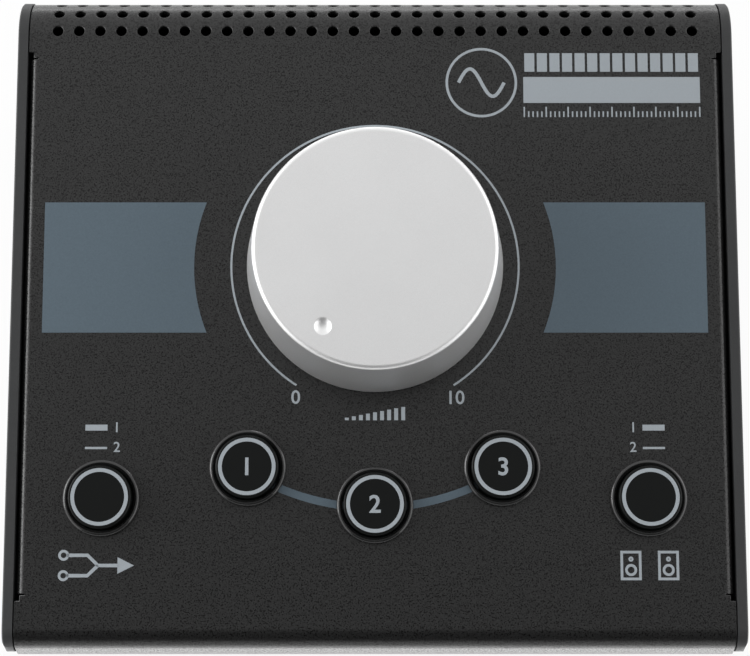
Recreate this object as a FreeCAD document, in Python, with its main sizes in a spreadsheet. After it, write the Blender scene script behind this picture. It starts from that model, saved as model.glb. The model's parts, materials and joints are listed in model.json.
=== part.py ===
import FreeCAD, Part
import math
import os
import re

import Sketcher
from FreeCAD import Placement, Rotation, Vector

# Studio monitor controller: a wedge-shaped desktop box of bent sheet metal between two side
# cheeks, with one large volume knob and five push buttons on the sloping panel and a row of
# quarter-inch jack sockets behind.
#
# Row frame: +X right, +Y to the rear, +Z up, millimetres, origin on the surface that the feet
# stand on, under the middle of the box.
# Panel frame, used by everything on the sloping panel: u along +X, v up the slope, and h out
# of the panel, with its origin where the knob's axis meets the panel's surface.

doc = FreeCAD.newDocument("monitor_controller")

# ---------------------------------------------------------------- driving dimensions

SIZES = {
    # housing
    "slope": (17.5, "tilt of the panel, degrees"),
    "panel_width": (192.4, "between the inner faces of the cheeks"),
    "slope_length": (163.4, "flat part of the panel, bend to bend"),
    "knob_from_nose": (98.0, "knob axis to the front bend, along the slope"),
    "nose_radius": (5.5, "outer radius of the front bend"),
    "front_face": (6.0, "upright part of the cover's front"),
    "top_radius": (11.6, "outer radius of the vented rear bend"),
    "rear_flat": (12.0, "upright part of the cover's back"),
    "sheet": (1.2, "sheet metal thickness"),
    "foot_height": (3.2, "height of the rubber feet"),
    "foot_radius": (6.5, "radius of a foot at the pan"),
    "foot_taper": (0.8, "how much narrower a foot is at its sole"),
    "foot_inset_side": (16.0, "foot centre to the cheek"),
    "foot_inset_end": (20.0, "foot centre to the front or back of the box"),
    # side cheeks
    "cheek": (2.8, "cheek thickness"),
    "cheek_proud": (0.3, "how far the cheeks stand out past the cover"),
    "cheek_toe": (7.0, "radius of the cheek's bottom front corner"),
    "cheek_heel": (4.0, "radius of the cheek's bottom rear corner"),
    "cheek_end": (1.6, "radius of the cheek's outer corners, seen from above"),
    "cheek_edge": (0.4, "chamfer round the cheek's outer face"),
    # cover details
    "cover_gap": (0.15, "cover's full-width ends to the cheek"),
    "slot_gap": (0.5, "slot between the cheek and the cover's side flange"),
    "flange_bend": (2.4, "outer radius of the side flange's bend"),
    "flange_depth": (8.0, "depth of the side flanges"),
    "slot_front": (7.4, "front bend to the front end of the slot"),
    "slot_rear": (5.3, "rear end of the slot to the rear bend"),
    "notch": (1.7, "length of the bend relief at each end of a flange"),
    "notch_width": (1.6, "reach of the bend relief from the cheek"),
    "slit": (0.2, "width of the slit between a flange's bend and the sheet beyond"),
    "lip_length": (10.0, "turned-in lip at the cover's front edge"),
    "lip_bend": (1.8, "outer radius of the lip's bend"),
    "vent_radius": (1.45, "vent hole radius"),
    "vent_columns": (31, "vent holes in a row"),
    "vent_rows": (4, "rows of vent holes"),
    "vent_margin": (8.15, "cheek to the first vent column"),
    "vent_start": (0.96, "start of the rear bend to the first vent row"),
    # base pan and rear panel
    "pan_setback": (2.4, "pan's front edge behind the cover's front"),
    "pan_bend": (1.8, "outer radius of the pan's rear bend"),
    "upstand": (8.0, "height of the pan's rear upstand"),
    "wall_gap": (0.1, "cover's back to the rear panel"),
    "wall_overlap": (8.0, "overlap of the cover's back and the rear panel"),
    "flange_clear": (0.8, "cover's side flange to the pan's side wall"),
    # screws
    "screw_radius": (1.5, "radius of every screw's shank"),
    "screw_fit": (0.1, "play of a screw in its hole"),
    "screw_length": (6.0, "shank under the head"),
    "head_radius": (2.8, "radius of a screw's head"),
    "head_height": (1.7, "height of a pan head"),
    "socket_radius": (1.3, "corner radius of the hexagon in a head"),
    "socket_depth": (1.0, "depth of that hexagon"),
    "lip_screw_side": (34.0, "outer front screws to the cheek"),
    "lip_screw_back": (6.0, "front screws behind the cover's front"),
    "rear_screw_side": (16.0, "outer rear screws to the cheek"),
    "cheek_screw_rise": (6.0, "lower cheek screws above the pan's underside"),
    "cheek_screw_inset": (30.0, "end cheek screws to the front or back"),
    "cheek_screw_upper": (34.0, "upper cheek screw above the pan's underside"),
    # volume knob
    "knob_top_radius": (32.2, "knob radius at its top"),
    "knob_base_radius": (34.9, "knob radius at its skirt"),
    "knob_height": (26.2, "knob's top above the panel"),
    "knob_gap": (0.6, "knob's skirt above the panel"),
    "knob_edge": (1.3, "round at the knob's top edge"),
    "knob_wall": (2.6, "knob's side wall"),
    "knob_plate": (3.4, "knob's top plate"),
    "dimple_radius": (2.25, "pointer dimple's radius"),
    "dimple_depth": (0.75, "pointer dimple's depth"),
    "dimple_reach": (24.9, "pointer dimple's distance from the knob's axis"),
    "dimple_angle": (32.8, "pointer dimple at rest, degrees from straight down"),
    "hub_flange_radius": (16.0, "radius of the hub's flange"),
    "hub_flange": (2.4, "thickness of the hub's flange"),
    "hub_radius": (7.0, "radius of the hub's boss"),
    "hub_lift": (6.4, "hub's lower end above the panel"),
    # potentiometer
    "shaft_radius": (3.0, "shaft radius"),
    "shaft_fit": (0.05, "radial play of the shaft in its bushing"),
    "shaft_flat": (1.5, "flat on the shaft, from its axis"),
    "shaft_engage": (12.0, "length of the shaft inside the hub"),
    "bushing_radius": (4.5, "threaded bushing's radius"),
    "bushing_height": (4.6, "bushing's end above the panel"),
    "bushing_plate": (1.5, "thickness of the bushing's square plate"),
    "pot_half": (12.0, "half the width of the square plate"),
    "pot_radius": (11.5, "radius of the potentiometer's can"),
    "pot_cavity": (5.0, "depth of the can's hollow round the shaft"),
    "pot_hole_fit": (0.1, "play of a bushing in its panel hole or nut"),
    "pot_washer_radius": (7.5, "washer radius"),
    "washer_thick": (0.6, "thickness of every washer"),
    "pot_nut_flats": (12.0, "across the flats of the potentiometer's nut"),
    "nut_thick": (2.3, "thickness of every nut"),
    # push buttons
    "bezel_radius": (10.3, "bezel flange radius"),
    "bezel_height": (1.8, "bezel's top above the panel"),
    "bezel_round": (0.8, "round at the bezel's rim"),
    "bezel_rim": (0.9, "width of the bezel's rim, outside its dish"),
    "bezel_dish": (0.7, "fall of the bezel's dish towards the cap"),
    "bezel_sleeve": (9.15, "outer radius of the bezel's sleeve"),
    "bezel_depth": (4.2, "bezel sleeve's end below the panel"),
    "bezel_fit": (0.1, "play of the sleeve in the panel"),
    "cap_radius": (8.4, "button cap radius"),
    "cap_clear": (0.3, "gap round the cap in its bezel"),
    "cap_height": (5.0, "cap's top above the panel"),
    "cap_round": (0.5, "round at the cap's rim"),
    "cap_wall": (1.2, "cap's side wall"),
    "cap_plate": (1.8, "cap's top plate"),
    "cap_skirt": (2.5, "cap's lower edge below the panel"),
    "cap_boss": (3.2, "radius of the boss inside the cap"),
    "cap_boss_depth": (1.0, "boss's lower end below the panel"),
    "plunger_half": (1.7, "half the width of the square plunger"),
    "plunger_grip": (2.5, "length of the plunger inside the cap"),
    "plunger_entry": (2.0, "length of the plunger inside its switch at rest"),
    "switch_half": (4.25, "half the width of a switch"),
    "switch_height": (6.0, "height of a switch on its board"),
    "switch_play": (0.3, "gap round the plunger in its switch"),
    "switch_floor": (0.8, "bottom of a switch under its well"),
    "select_side": (23.0, "select buttons to the cheek"),
    "select_v": (63.45, "select buttons below the knob's axis"),
    "middle_u": (34.1, "outer middle buttons to the middle line"),
    "middle_v": (55.35, "outer middle buttons below the knob's axis"),
    "centre_v": (65.3, "centre button below the knob's axis"),
    # control board
    "board": (1.6, "circuit board thickness"),
    "board_drop": (12.5, "top of the control board below the panel's surface"),
    "board_side_gap": (8.0, "control board's edge to the cheek"),
    "board_front": (79.0, "control board's front edge below the knob's axis"),
    "board_corner": (4.0, "board fixing hole to the board's edges"),
    "post_radius": (3.0, "board post radius"),
    # jack board and sockets
    "jack_post": (8.0, "height of the jack board's posts"),
    "jack_board_depth": (44.0, "jack board, front to back"),
    "jack_board_side_gap": (8.0, "jack board's edge to the cheek"),
    "jack_board_gap": (0.5, "jack board's rear edge to the rear wall"),
    "jack_count": (8, "jack sockets"),
    "jack_side": (19.2, "outermost sockets to the cheek"),
    "jack_half": (7.0, "half the width of a socket's body"),
    "jack_axis": (7.5, "socket's axis above its board"),
    "jack_height": (14.5, "height of a socket's body"),
    "jack_depth": (24.0, "depth of a socket's body"),
    "jack_bushing": (4.6, "socket bushing's radius"),
    "jack_bore": (3.3, "radius of the hole that takes a plug"),
    "jack_floor": (2.0, "body left behind the bore's end"),
    "jack_out": (6.4, "bushing's end behind the rear wall"),
    "jack_nut_flats": (12.5, "across the flats of a socket's nut"),
    "jack_washer_radius": (6.9, "radius of a socket's washer"),
    # ribbon cable between the boards
    "header_half": (15.0, "half the length of a ribbon header"),
    "header_width": (6.0, "width of a ribbon header"),
    "header_height": (5.0, "height of a ribbon header"),
    "header_side": (30.0, "ribbon's centre to the left of the middle line"),
    "header_inset": (6.0, "header's centre to its board's edge"),
    "ribbon_half": (12.7, "half the ribbon's width"),
    "ribbon_thick": (0.9, "ribbon's thickness"),
    "ribbon_span": (13.5, "between the two headers, front to back"),
    "ribbon_run": (7.0, "straight run of the ribbon out of each header"),
    "ribbon_bend": (4.0, "radius of the ribbon's bends"),
}

# Places worked out from the driving dimensions.
PLACES = {
    "slope_sin": "sin(slope * 1deg)",
    "slope_cos": "cos(slope * 1deg)",
    "slope_tan": "tan(slope * 1deg)",
    # panel frame: where the panel's plane meets the planes of the front and the back
    "nose_reach": "nose_radius * tan(45deg - slope * 0.5deg)",
    "top_reach": "top_radius * tan(45deg + slope * 0.5deg)",
    "nose_v": "-knob_from_nose - nose_reach",
    "top_v": "slope_length - knob_from_nose + top_reach",
    "front_drop": "nose_reach + front_face",
    "rear_drop": "top_reach + rear_flat",
    # row frame
    "box_depth": "(top_v - nose_v) * slope_cos",
    "whole_depth": "cheek_proud + box_depth - sheet - wall_gap + jack_out",
    "cover_front": "cheek_proud - whole_depth / 2",
    "cover_rear": "cover_front + box_depth",
    "pan_top": "foot_height + sheet",
    "panel_y": "cover_front - nose_v * slope_cos",
    "panel_z": "pan_top + front_drop - nose_v * slope_sin",
    "cover_rear_low": "panel_z + top_v * slope_sin - rear_drop",
    "wall_rear": "cover_rear - sheet - wall_gap",
    "wall_inner": "wall_rear - sheet",
    "wall_top": "cover_rear_low + wall_overlap",
    "upstand_top": "foot_height + upstand",
    "rear_screw_z": "cover_rear_low + wall_overlap / 2",
    "upstand_screw_z": "(pan_top + upstand_top) / 2",
    # cover
    "inner_half": "panel_width / 2",
    "cover_half": "inner_half - cover_gap",
    "flange_outer": "inner_half - slot_gap",
    "flange_start": "flange_outer - flange_bend",
    "notch_start": "inner_half - notch_width",
    "slot_front_v": "slot_front - knob_from_nose",
    "slot_rear_v": "slope_length - knob_from_nose - slot_rear",
    "vent_pitch": "2 * (inner_half - vent_margin) / (vent_columns - 1)",
    "vent_turn": "vent_pitch / top_radius * 180 / pi",
    "vent_first": "vent_start / top_radius * 180 / pi",
    "lip_screw_pitch": "inner_half - lip_screw_side",
    "rear_screw_pitch": "inner_half - rear_screw_side",
    "select_u": "inner_half - select_side",
    # boards and sockets
    "control_half": "inner_half - board_side_gap",
    "jack_board_half": "inner_half - jack_board_side_gap",
    "jack_board_low": "pan_top + jack_post",
    "jack_board_top": "jack_board_low + board",
    "jack_board_rear": "wall_inner - jack_board_gap",
    "jack_board_front": "jack_board_rear - jack_board_depth",
    "jack_z": "jack_board_top + jack_axis",
    "jack_pitch": "2 * (inner_half - jack_side) / (jack_count - 1)",
    # headers at the two ends of the ribbon, and the control board's rear edge behind one
    "rear_header_y": "jack_board_front + header_inset",
    "front_header_h": "-board_drop - board",
    "front_header_y": "rear_header_y - ribbon_span",
    "front_header_v": "(front_header_y - panel_y + (front_header_h - header_height) * slope_sin)"
                      " / slope_cos",
    "board_rear": "front_header_v + header_inset",
    "cap_bottom_inside": "cap_height - cap_plate",
    "socket_top": "plunger_grip - cap_boss_depth",
    "switch_top": "switch_height - board_drop",
    "hub_top": "knob_height - knob_plate",
    "can_top": "-sheet - bushing_plate",
}


def add_sheet(name, cells):
    """Write a spreadsheet with one aliased cell per name."""
    sheet = doc.addObject("Spreadsheet::Sheet", name)
    for row, (alias, (content, note)) in enumerate(cells.items(), 1):
        sheet.set(f"A{row}", note)
        sheet.set(f"B{row}", content)
        sheet.setAlias(f"B{row}", alias)
    return sheet


def bound(formula):
    """Turn the plain names in a formula into references to the two sheets' cells."""
    def refer(match):
        word = match.group(0)
        if word in SIZES:
            return f"dims.{word}"
        return f"places.{word}" if word in PLACES else word
    return re.sub(r"[a-z][a-z_]*", refer, str(formula))


dims = add_sheet("dims", {name: (str(value), note) for name, (value, note) in SIZES.items()})
places = add_sheet("places", {name: ("=" + bound(formula).replace("places.", ""), "")
                              for name, formula in PLACES.items()})
doc.recompute()
probe = doc.addObject("App::FeaturePython", "probe")


def number(formula):
    """The value of a formula, as a plain number."""
    return float(probe.evalExpression(bound(formula)))


# ---------------------------------------------------------------- sketches

def origin_plane(body, role):
    return next(item for item in body.Origin.OriginFeatures if item.Role == role)


def add_sketch(body, role, name, base=(0, 0, 0), tilt=None):
    """A sketch on one of the body's origin planes.

    base is its origin in the plane's own x, y and normal; tilt turns it about its x axis.
    """
    sketch = body.newObject("Sketcher::SketchObject", name)
    sketch.AttachmentSupport = [(origin_plane(body, role), "")]
    sketch.MapMode = "FlatFace"
    sketch.AttachmentOffset = Placement(Vector(), Rotation(Vector(1, 0, 0), 0))
    for axis, formula in zip("xyz", base):
        sketch.setExpression(f"AttachmentOffset.Base.{axis}", bound(formula))
    if tilt is not None:
        sketch.setExpression("AttachmentOffset.Rotation.Angle", bound(tilt))
    return sketch


def bind_size(sketch, formula, kind, *geometry):
    """Add one dimension to the sketch and tie it to a formula."""
    index = sketch.addConstraint(Sketcher.Constraint(kind, *geometry, number(formula)))
    sketch.setExpression(f"Constraints[{index}]", bound(formula))


def bind_point(sketch, across, up, geometry, end):
    """Tie a point of the geometry to its distances from the sketch's origin."""
    bind_size(sketch, across, "DistanceX", -1, 1, geometry, end)
    bind_size(sketch, up, "DistanceY", -1, 1, geometry, end)


def draw_circle(sketch, across, up, radius):
    centre = Vector(number(across), number(up), 0)
    circle = sketch.addGeometry(Part.Circle(centre, Vector(0, 0, 1), number(radius)))
    bind_point(sketch, across, up, circle, 3)
    bind_size(sketch, radius, "Radius", circle)


def draw_path(sketch, corners, closed=True):
    """Draw lines through corners (x, y), with a tangent arc where a corner is (x, y, radius)."""
    count = len(corners)
    points = [Vector(number(corner[0]), number(corner[1]), 0) for corner in corners]
    arrive, leave, arcs = list(points), list(points), {}
    for index, corner in enumerate(corners):
        if len(corner) < 3:
            continue
        radius = number(corner[2])
        back = (points[index - 1] - points[index]).normalize()
        ahead = (points[(index + 1) % count] - points[index]).normalize()
        half = back.getAngle(ahead) / 2
        arrive[index] = points[index] + back * (radius / math.tan(half))
        leave[index] = points[index] + ahead * (radius / math.tan(half))
        centre = points[index] + (back + ahead).normalize() * (radius / math.sin(half))
        turns_left = back.cross(ahead).z < 0
        arcs[index] = (centre, radius, turns_left)
    last = count if closed else count - 1
    lines = [sketch.addGeometry(Part.LineSegment(leave[index], arrive[(index + 1) % count]))
             for index in range(last)]
    if not closed:
        bind_point(sketch, corners[0][0], corners[0][1], lines[0], 1)
        bind_point(sketch, corners[-1][0], corners[-1][1], lines[-1], 2)
    for index in range(0 if closed else 1, last):
        before, after = lines[index - 1], lines[index]
        across, up = corners[index][:2]
        if index not in arcs:
            sketch.addConstraint(Sketcher.Constraint("Coincident", before, 2, after, 1))
            bind_point(sketch, across, up, after, 1)
            continue
        centre, radius, turns_left = arcs[index]
        ends = [arrive[index], leave[index]] if turns_left else [leave[index], arrive[index]]
        angles = [math.atan2(end.y - centre.y, end.x - centre.x) for end in ends]
        circle = Part.Circle(centre, Vector(0, 0, 1), radius)
        arc = sketch.addGeometry(Part.ArcOfCircle(circle, *angles))
        first, second = (1, 2) if turns_left else (2, 1)
        corner = sketch.addGeometry(Part.Point(points[index]), True)
        bind_point(sketch, across, up, corner, 1)
        sketch.addConstraint([
            Sketcher.Constraint("Tangent", before, 2, arc, first),
            Sketcher.Constraint("Tangent", arc, second, after, 1),
            Sketcher.Constraint("PointOnObject", corner, 1, before),
            Sketcher.Constraint("PointOnObject", corner, 1, after),
        ])
        bind_size(sketch, corners[index][2], "Radius", arc)


def draw_rectangle(sketch, left, low, right, high):
    draw_path(sketch, [(left, low), (right, low), (right, high), (left, high)])


def draw_hexagon(sketch, corner_radius):
    """A hexagon about the origin, with a corner on the x axis."""
    turns = [(f"cos({60 * side}deg)", f"sin({60 * side}deg)") for side in range(6)]
    draw_path(sketch, [(f"({corner_radius}) * {x}", f"({corner_radius}) * {y}")
                       for x, y in turns])


# ---------------------------------------------------------------- bodies and features

parts = {}


def add_body(name, u=None, v="0", h="0", at=None):
    """A body in the row frame, at a point of it, or on the panel at (u, v, h)."""
    body = doc.addObject("PartDesign::Body", name)
    body.Label = name
    body.Placement = Placement(Vector(), Rotation(Vector(1, 0, 0), 0))
    if u is not None:
        body.setExpression("Placement.Rotation.Angle", bound("slope"))
        at = (u, f"panel_y + ({v}) * slope_cos - ({h}) * slope_sin",
              f"panel_z + ({v}) * slope_sin + ({h}) * slope_cos")
    for axis, formula in zip("xyz", at or ()):
        body.setExpression(f"Placement.Base.{axis}", bound(formula))
    return body


def keep(body):
    """Make a body a node of its own, under its label."""
    parts[body.Label] = body
    return body


def add_pad(body, sketch, length, reverse=False, both_ways=False):
    pad = body.newObject("PartDesign::Pad", sketch.Name + "_pad")
    pad.Profile = sketch
    pad.setExpression("Length", bound(length))
    pad.Reversed = reverse
    pad.Midplane = both_ways
    doc.recompute()
    return pad


def add_pocket(body, sketch, depth, reverse=False, both_ways=False):
    """Cut a sketch into the body, against the sketch's normal unless reversed."""
    volume = body.Shape.Volume
    pocket = body.newObject("PartDesign::Pocket", sketch.Name + "_pocket")
    pocket.Profile = sketch
    pocket.setExpression("Length", bound(depth))
    pocket.Reversed = reverse
    pocket.Midplane = both_ways
    doc.recompute()
    if not body.Shape.Volume < volume:
        raise ValueError(f"{sketch.Name} cuts nothing")
    return pocket


def add_revolution(body, sketch):
    """Turn a sketch of the XZ plane round the body's z axis."""
    turned = body.newObject("PartDesign::Revolution", sketch.Name + "_turned")
    turned.Profile = sketch
    turned.ReferenceAxis = (sketch, ["V_Axis"])
    turned.Angle = 360
    doc.recompute()
    return turned


def turned_body(name, profile, **place):
    """A body turned from one profile of (radius, height) corners."""
    body = add_body(name, **place)
    sketch = add_sketch(body, "XZ_Plane", name + "_profile")
    draw_path(sketch, profile)
    add_revolution(body, sketch)
    return body


def add_group(name, master, spots):
    """One node of separate solids: a copy of the master body at each placement."""
    solids = []
    for spot in spots:
        solid = master.Shape.Solids[0].copy()
        solid.Placement = spot.multiply(solid.Placement)
        solids.append(solid)
    group = doc.addObject("Part::Feature", name)
    group.Label = name
    group.Shape = Part.makeCompound(solids)
    parts[name] = group
    return group


def row_spot(x, y, z, turn=None):
    """A placement in the row frame, of formulas, turned by (axis, degrees)."""
    rotation = Rotation(*turn) if turn else Rotation()
    return Placement(Vector(number(x), number(y), number(z)), rotation)


def panel_spot(u, v, h):
    """A placement on the panel, of formulas."""
    tilt = Rotation(Vector(1, 0, 0), number("slope"))
    origin = Vector(0, number("panel_y"), number("panel_z"))
    return Placement(origin + tilt.multVec(Vector(number(u), number(v), number(h))), tilt)


# ---------------------------------------------------------------- top cover

def front_face_point(inward, upward):
    """(v, h) of a point inward from the cover's front plane and up from its lower edge."""
    return (f"nose_v + ({inward}) * slope_cos + (({upward}) - front_drop) * slope_sin",
            f"-({inward}) * slope_sin + (({upward}) - front_drop) * slope_cos")


def back_face_point(inward, upward):
    """(v, h) of a point inward from the cover's back plane and up from its lower edge."""
    return (f"top_v - ({inward}) * slope_cos + (({upward}) - rear_drop) * slope_sin",
            f"({inward}) * slope_sin + (({upward}) - rear_drop) * slope_cos")


def make_top_cover():
    """One bent sheet: lip, front, panel, vented rear bend and back, with two side flanges."""
    cover = add_body("top_cover", u="0")
    profile = add_sketch(cover, "YZ_Plane", "cover_profile")
    nose_inside = "nose_v + sheet * (1 - slope_sin) / slope_cos"
    top_inside = "top_v - sheet * (1 + slope_sin) / slope_cos"
    draw_path(profile, [
        front_face_point("lip_length", "0"),
        (*front_face_point("0", "0"), "lip_bend"),
        ("nose_v", "0", "nose_radius"),
        ("top_v", "0", "top_radius"),
        back_face_point("0", "0"),
        back_face_point("sheet", "0"),
        (top_inside, "-sheet", "top_radius - sheet"),
        (nose_inside, "-sheet", "nose_radius - sheet"),
        (*front_face_point("sheet", "sheet"), "lip_bend - sheet"),
        front_face_point("lip_length", "sheet"),
    ])
    add_pad(cover, profile, "2 * cover_half", both_ways=True)

    # the side flanges' room, with a wide notch and a thin slit at each end of it
    slots = add_sketch(cover, "XY_Plane", "side_slots")
    flanges = add_sketch(cover, "XZ_Plane", "side_flanges",
                         base=("0", "0", "-(slot_front_v + slot_rear_v) / 2"))
    for side in ("", "-"):
        draw_path(slots, [
            (f"{side}notch_start", "slot_front_v"),
            (f"{side}(cover_half + 1)", "slot_front_v"),
            (f"{side}(cover_half + 1)", "slot_rear_v"),
            (f"{side}notch_start", "slot_rear_v"),
            (f"{side}notch_start", "slot_rear_v - notch + slit"),
            (f"{side}flange_start", "slot_rear_v - notch + slit"),
            (f"{side}flange_start", "slot_front_v + notch - slit"),
            (f"{side}notch_start", "slot_front_v + notch - slit"),
        ])
        draw_path(flanges, [
            (f"{side}(flange_start - sheet)", "0"),
            (f"{side}flange_outer", "0", "flange_bend"),
            (f"{side}flange_outer", "-flange_depth"),
            (f"{side}(flange_outer - sheet)", "-flange_depth"),
            (f"{side}(flange_outer - sheet)", "-sheet", "flange_bend - sheet"),
            (f"{side}(flange_start - sheet)", "-sheet"),
        ])
    add_pocket(cover, slots, "1.5 * sheet")
    add_pad(cover, flanges, "slot_rear_v - slot_front_v - 2 * notch", both_ways=True)

    holes = add_sketch(cover, "XY_Plane", "panel_holes")
    draw_circle(holes, "0", "0", "bushing_radius + pot_hole_fit")
    for u, v in BUTTONS.values():
        draw_circle(holes, u, v, "bezel_sleeve + bezel_fit")
    add_pocket(cover, holes, "1.5 * sheet")

    lip_v, lip_h = front_face_point("0", "0")
    lip_holes = add_sketch(cover, "XY_Plane", "lip_holes", base=("0", lip_v, lip_h),
                           tilt="-slope")
    draw_screw_row(lip_holes, "lip_screw_pitch", "lip_screw_back")
    add_pocket(cover, lip_holes, "1.5 * sheet", reverse=True)

    back_holes = add_sketch(cover, "XZ_Plane", "back_holes", base=("0", "0", "-top_v"),
                            tilt="-slope")
    draw_screw_row(back_holes, "rear_screw_pitch", "wall_overlap / 2 - rear_drop")
    add_pocket(cover, back_holes, "1.5 * sheet", reverse=True)

    for row in range(int(number("vent_rows"))):
        vent = add_sketch(cover, "XZ_Plane", f"vent_row_{row + 1}",
                          base=("0", "-top_radius", "knob_from_nose - slope_length"),
                          tilt=f"-90 - vent_first - {row} * vent_turn")
        draw_circle(vent, "vent_margin - inner_half", "0", "vent_radius")
        first_hole = add_pocket(cover, vent, "top_radius + sheet", reverse=True)
        pattern = cover.newObject("PartDesign::LinearPattern", f"vent_pattern_{row + 1}")
        pattern.Originals = [first_hole]
        pattern.Direction = (vent, ["H_Axis"])
        pattern.setExpression("Length", bound("2 * (inner_half - vent_margin)"))
        pattern.setExpression("Occurrences", bound("vent_columns"))
        cover.Tip = pattern
        doc.recompute()
    return keep(cover)


# ---------------------------------------------------------------- base pan and rear panel

def cheek_screw_spots():
    """(y, z) of the screws in each cheek: three along the pan and one behind, higher up."""
    low = "foot_height + cheek_screw_rise"
    return [("cover_front + cheek_screw_inset", low), ("0", low),
            ("cover_rear - cheek_screw_inset", low),
            ("cover_rear - cheek_screw_inset", "foot_height + cheek_screw_upper")]


def draw_screw_row(sketch, pitch, up):
    """Three screw holes, one of them in the middle."""
    for place in (-1, 0, 1):
        draw_circle(sketch, f"{place} * {pitch}", up, "screw_radius + screw_fit")


def jack_x(index):
    """Formula for the x of a socket, counted from the left."""
    return f"({index} - (jack_count - 1) / 2) * jack_pitch"


def make_base_pan():
    """Floor, low rear upstand and two side walls, bent from one sheet."""
    pan = add_body("base_pan")
    profile = add_sketch(pan, "YZ_Plane", "pan_profile")
    draw_path(profile, [
        ("cover_front + pan_setback", "foot_height"),
        ("wall_inner", "foot_height", "pan_bend"),
        ("wall_inner", "upstand_top"),
        ("wall_inner - sheet", "upstand_top"),
        ("wall_inner - sheet", "pan_top", "pan_bend - sheet"),
        ("cover_front + pan_setback", "pan_top"),
    ])
    add_pad(pan, profile, "2 * inner_half", both_ways=True)

    # the side walls end behind the cover's lip and run just under its side flanges
    start = "cover_front + lip_length + flange_clear"
    drop = "(flange_depth + flange_clear) / slope_cos"
    wall = add_sketch(pan, "YZ_Plane", "pan_side", base=("0", "0", "inner_half - sheet"))
    draw_path(wall, [
        (start, "pan_top"),
        ("wall_inner", "pan_top"),
        ("wall_inner", "wall_top"),
        (f"panel_y + (wall_top - panel_z + {drop}) / slope_tan", "wall_top"),
        (start, f"panel_z + ({start} - panel_y) * slope_tan - {drop}"),
    ])
    right_wall = add_pad(pan, wall, "sheet")
    both_walls = pan.newObject("PartDesign::Mirrored", "pan_sides")
    both_walls.Originals = [right_wall]
    both_walls.MirrorPlane = (origin_plane(pan, "YZ_Plane"), [""])
    pan.Tip = both_walls
    doc.recompute()

    upstand_holes = add_sketch(pan, "XZ_Plane", "upstand_holes", base=("0", "0", "-wall_inner"))
    draw_screw_row(upstand_holes, "rear_screw_pitch", "upstand_screw_z")
    add_pocket(pan, upstand_holes, "1.5 * sheet", reverse=True)

    floor_holes = add_sketch(pan, "XY_Plane", "floor_holes", base=("0", "0", "foot_height"))
    draw_screw_row(floor_holes, "lip_screw_pitch", "cover_front + lip_screw_back")
    add_pocket(pan, floor_holes, "1.5 * sheet", reverse=True)

    side_holes = add_sketch(pan, "YZ_Plane", "side_holes")
    for y, z in cheek_screw_spots():
        draw_circle(side_holes, y, z, "screw_radius + screw_fit")
    add_pocket(pan, side_holes, "2 * inner_half + 2", both_ways=True)
    return keep(pan)


def make_rear_panel():
    """A flat plate with the sockets' holes, behind the pan's upstand and the cover's back."""
    plate = add_body("rear_panel")
    outline = add_sketch(plate, "XZ_Plane", "rear_outline", base=("0", "0", "-wall_rear"))
    draw_rectangle(outline, "-inner_half", "foot_height", "inner_half", "wall_top")
    for index in range(int(number("jack_count"))):
        draw_circle(outline, jack_x(index), "jack_z", "jack_bushing + pot_hole_fit")
    draw_screw_row(outline, "rear_screw_pitch", "rear_screw_z")
    draw_screw_row(outline, "rear_screw_pitch", "upstand_screw_z")
    add_pad(plate, outline, "sheet")
    return keep(plate)


# ---------------------------------------------------------------- cheeks

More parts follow.
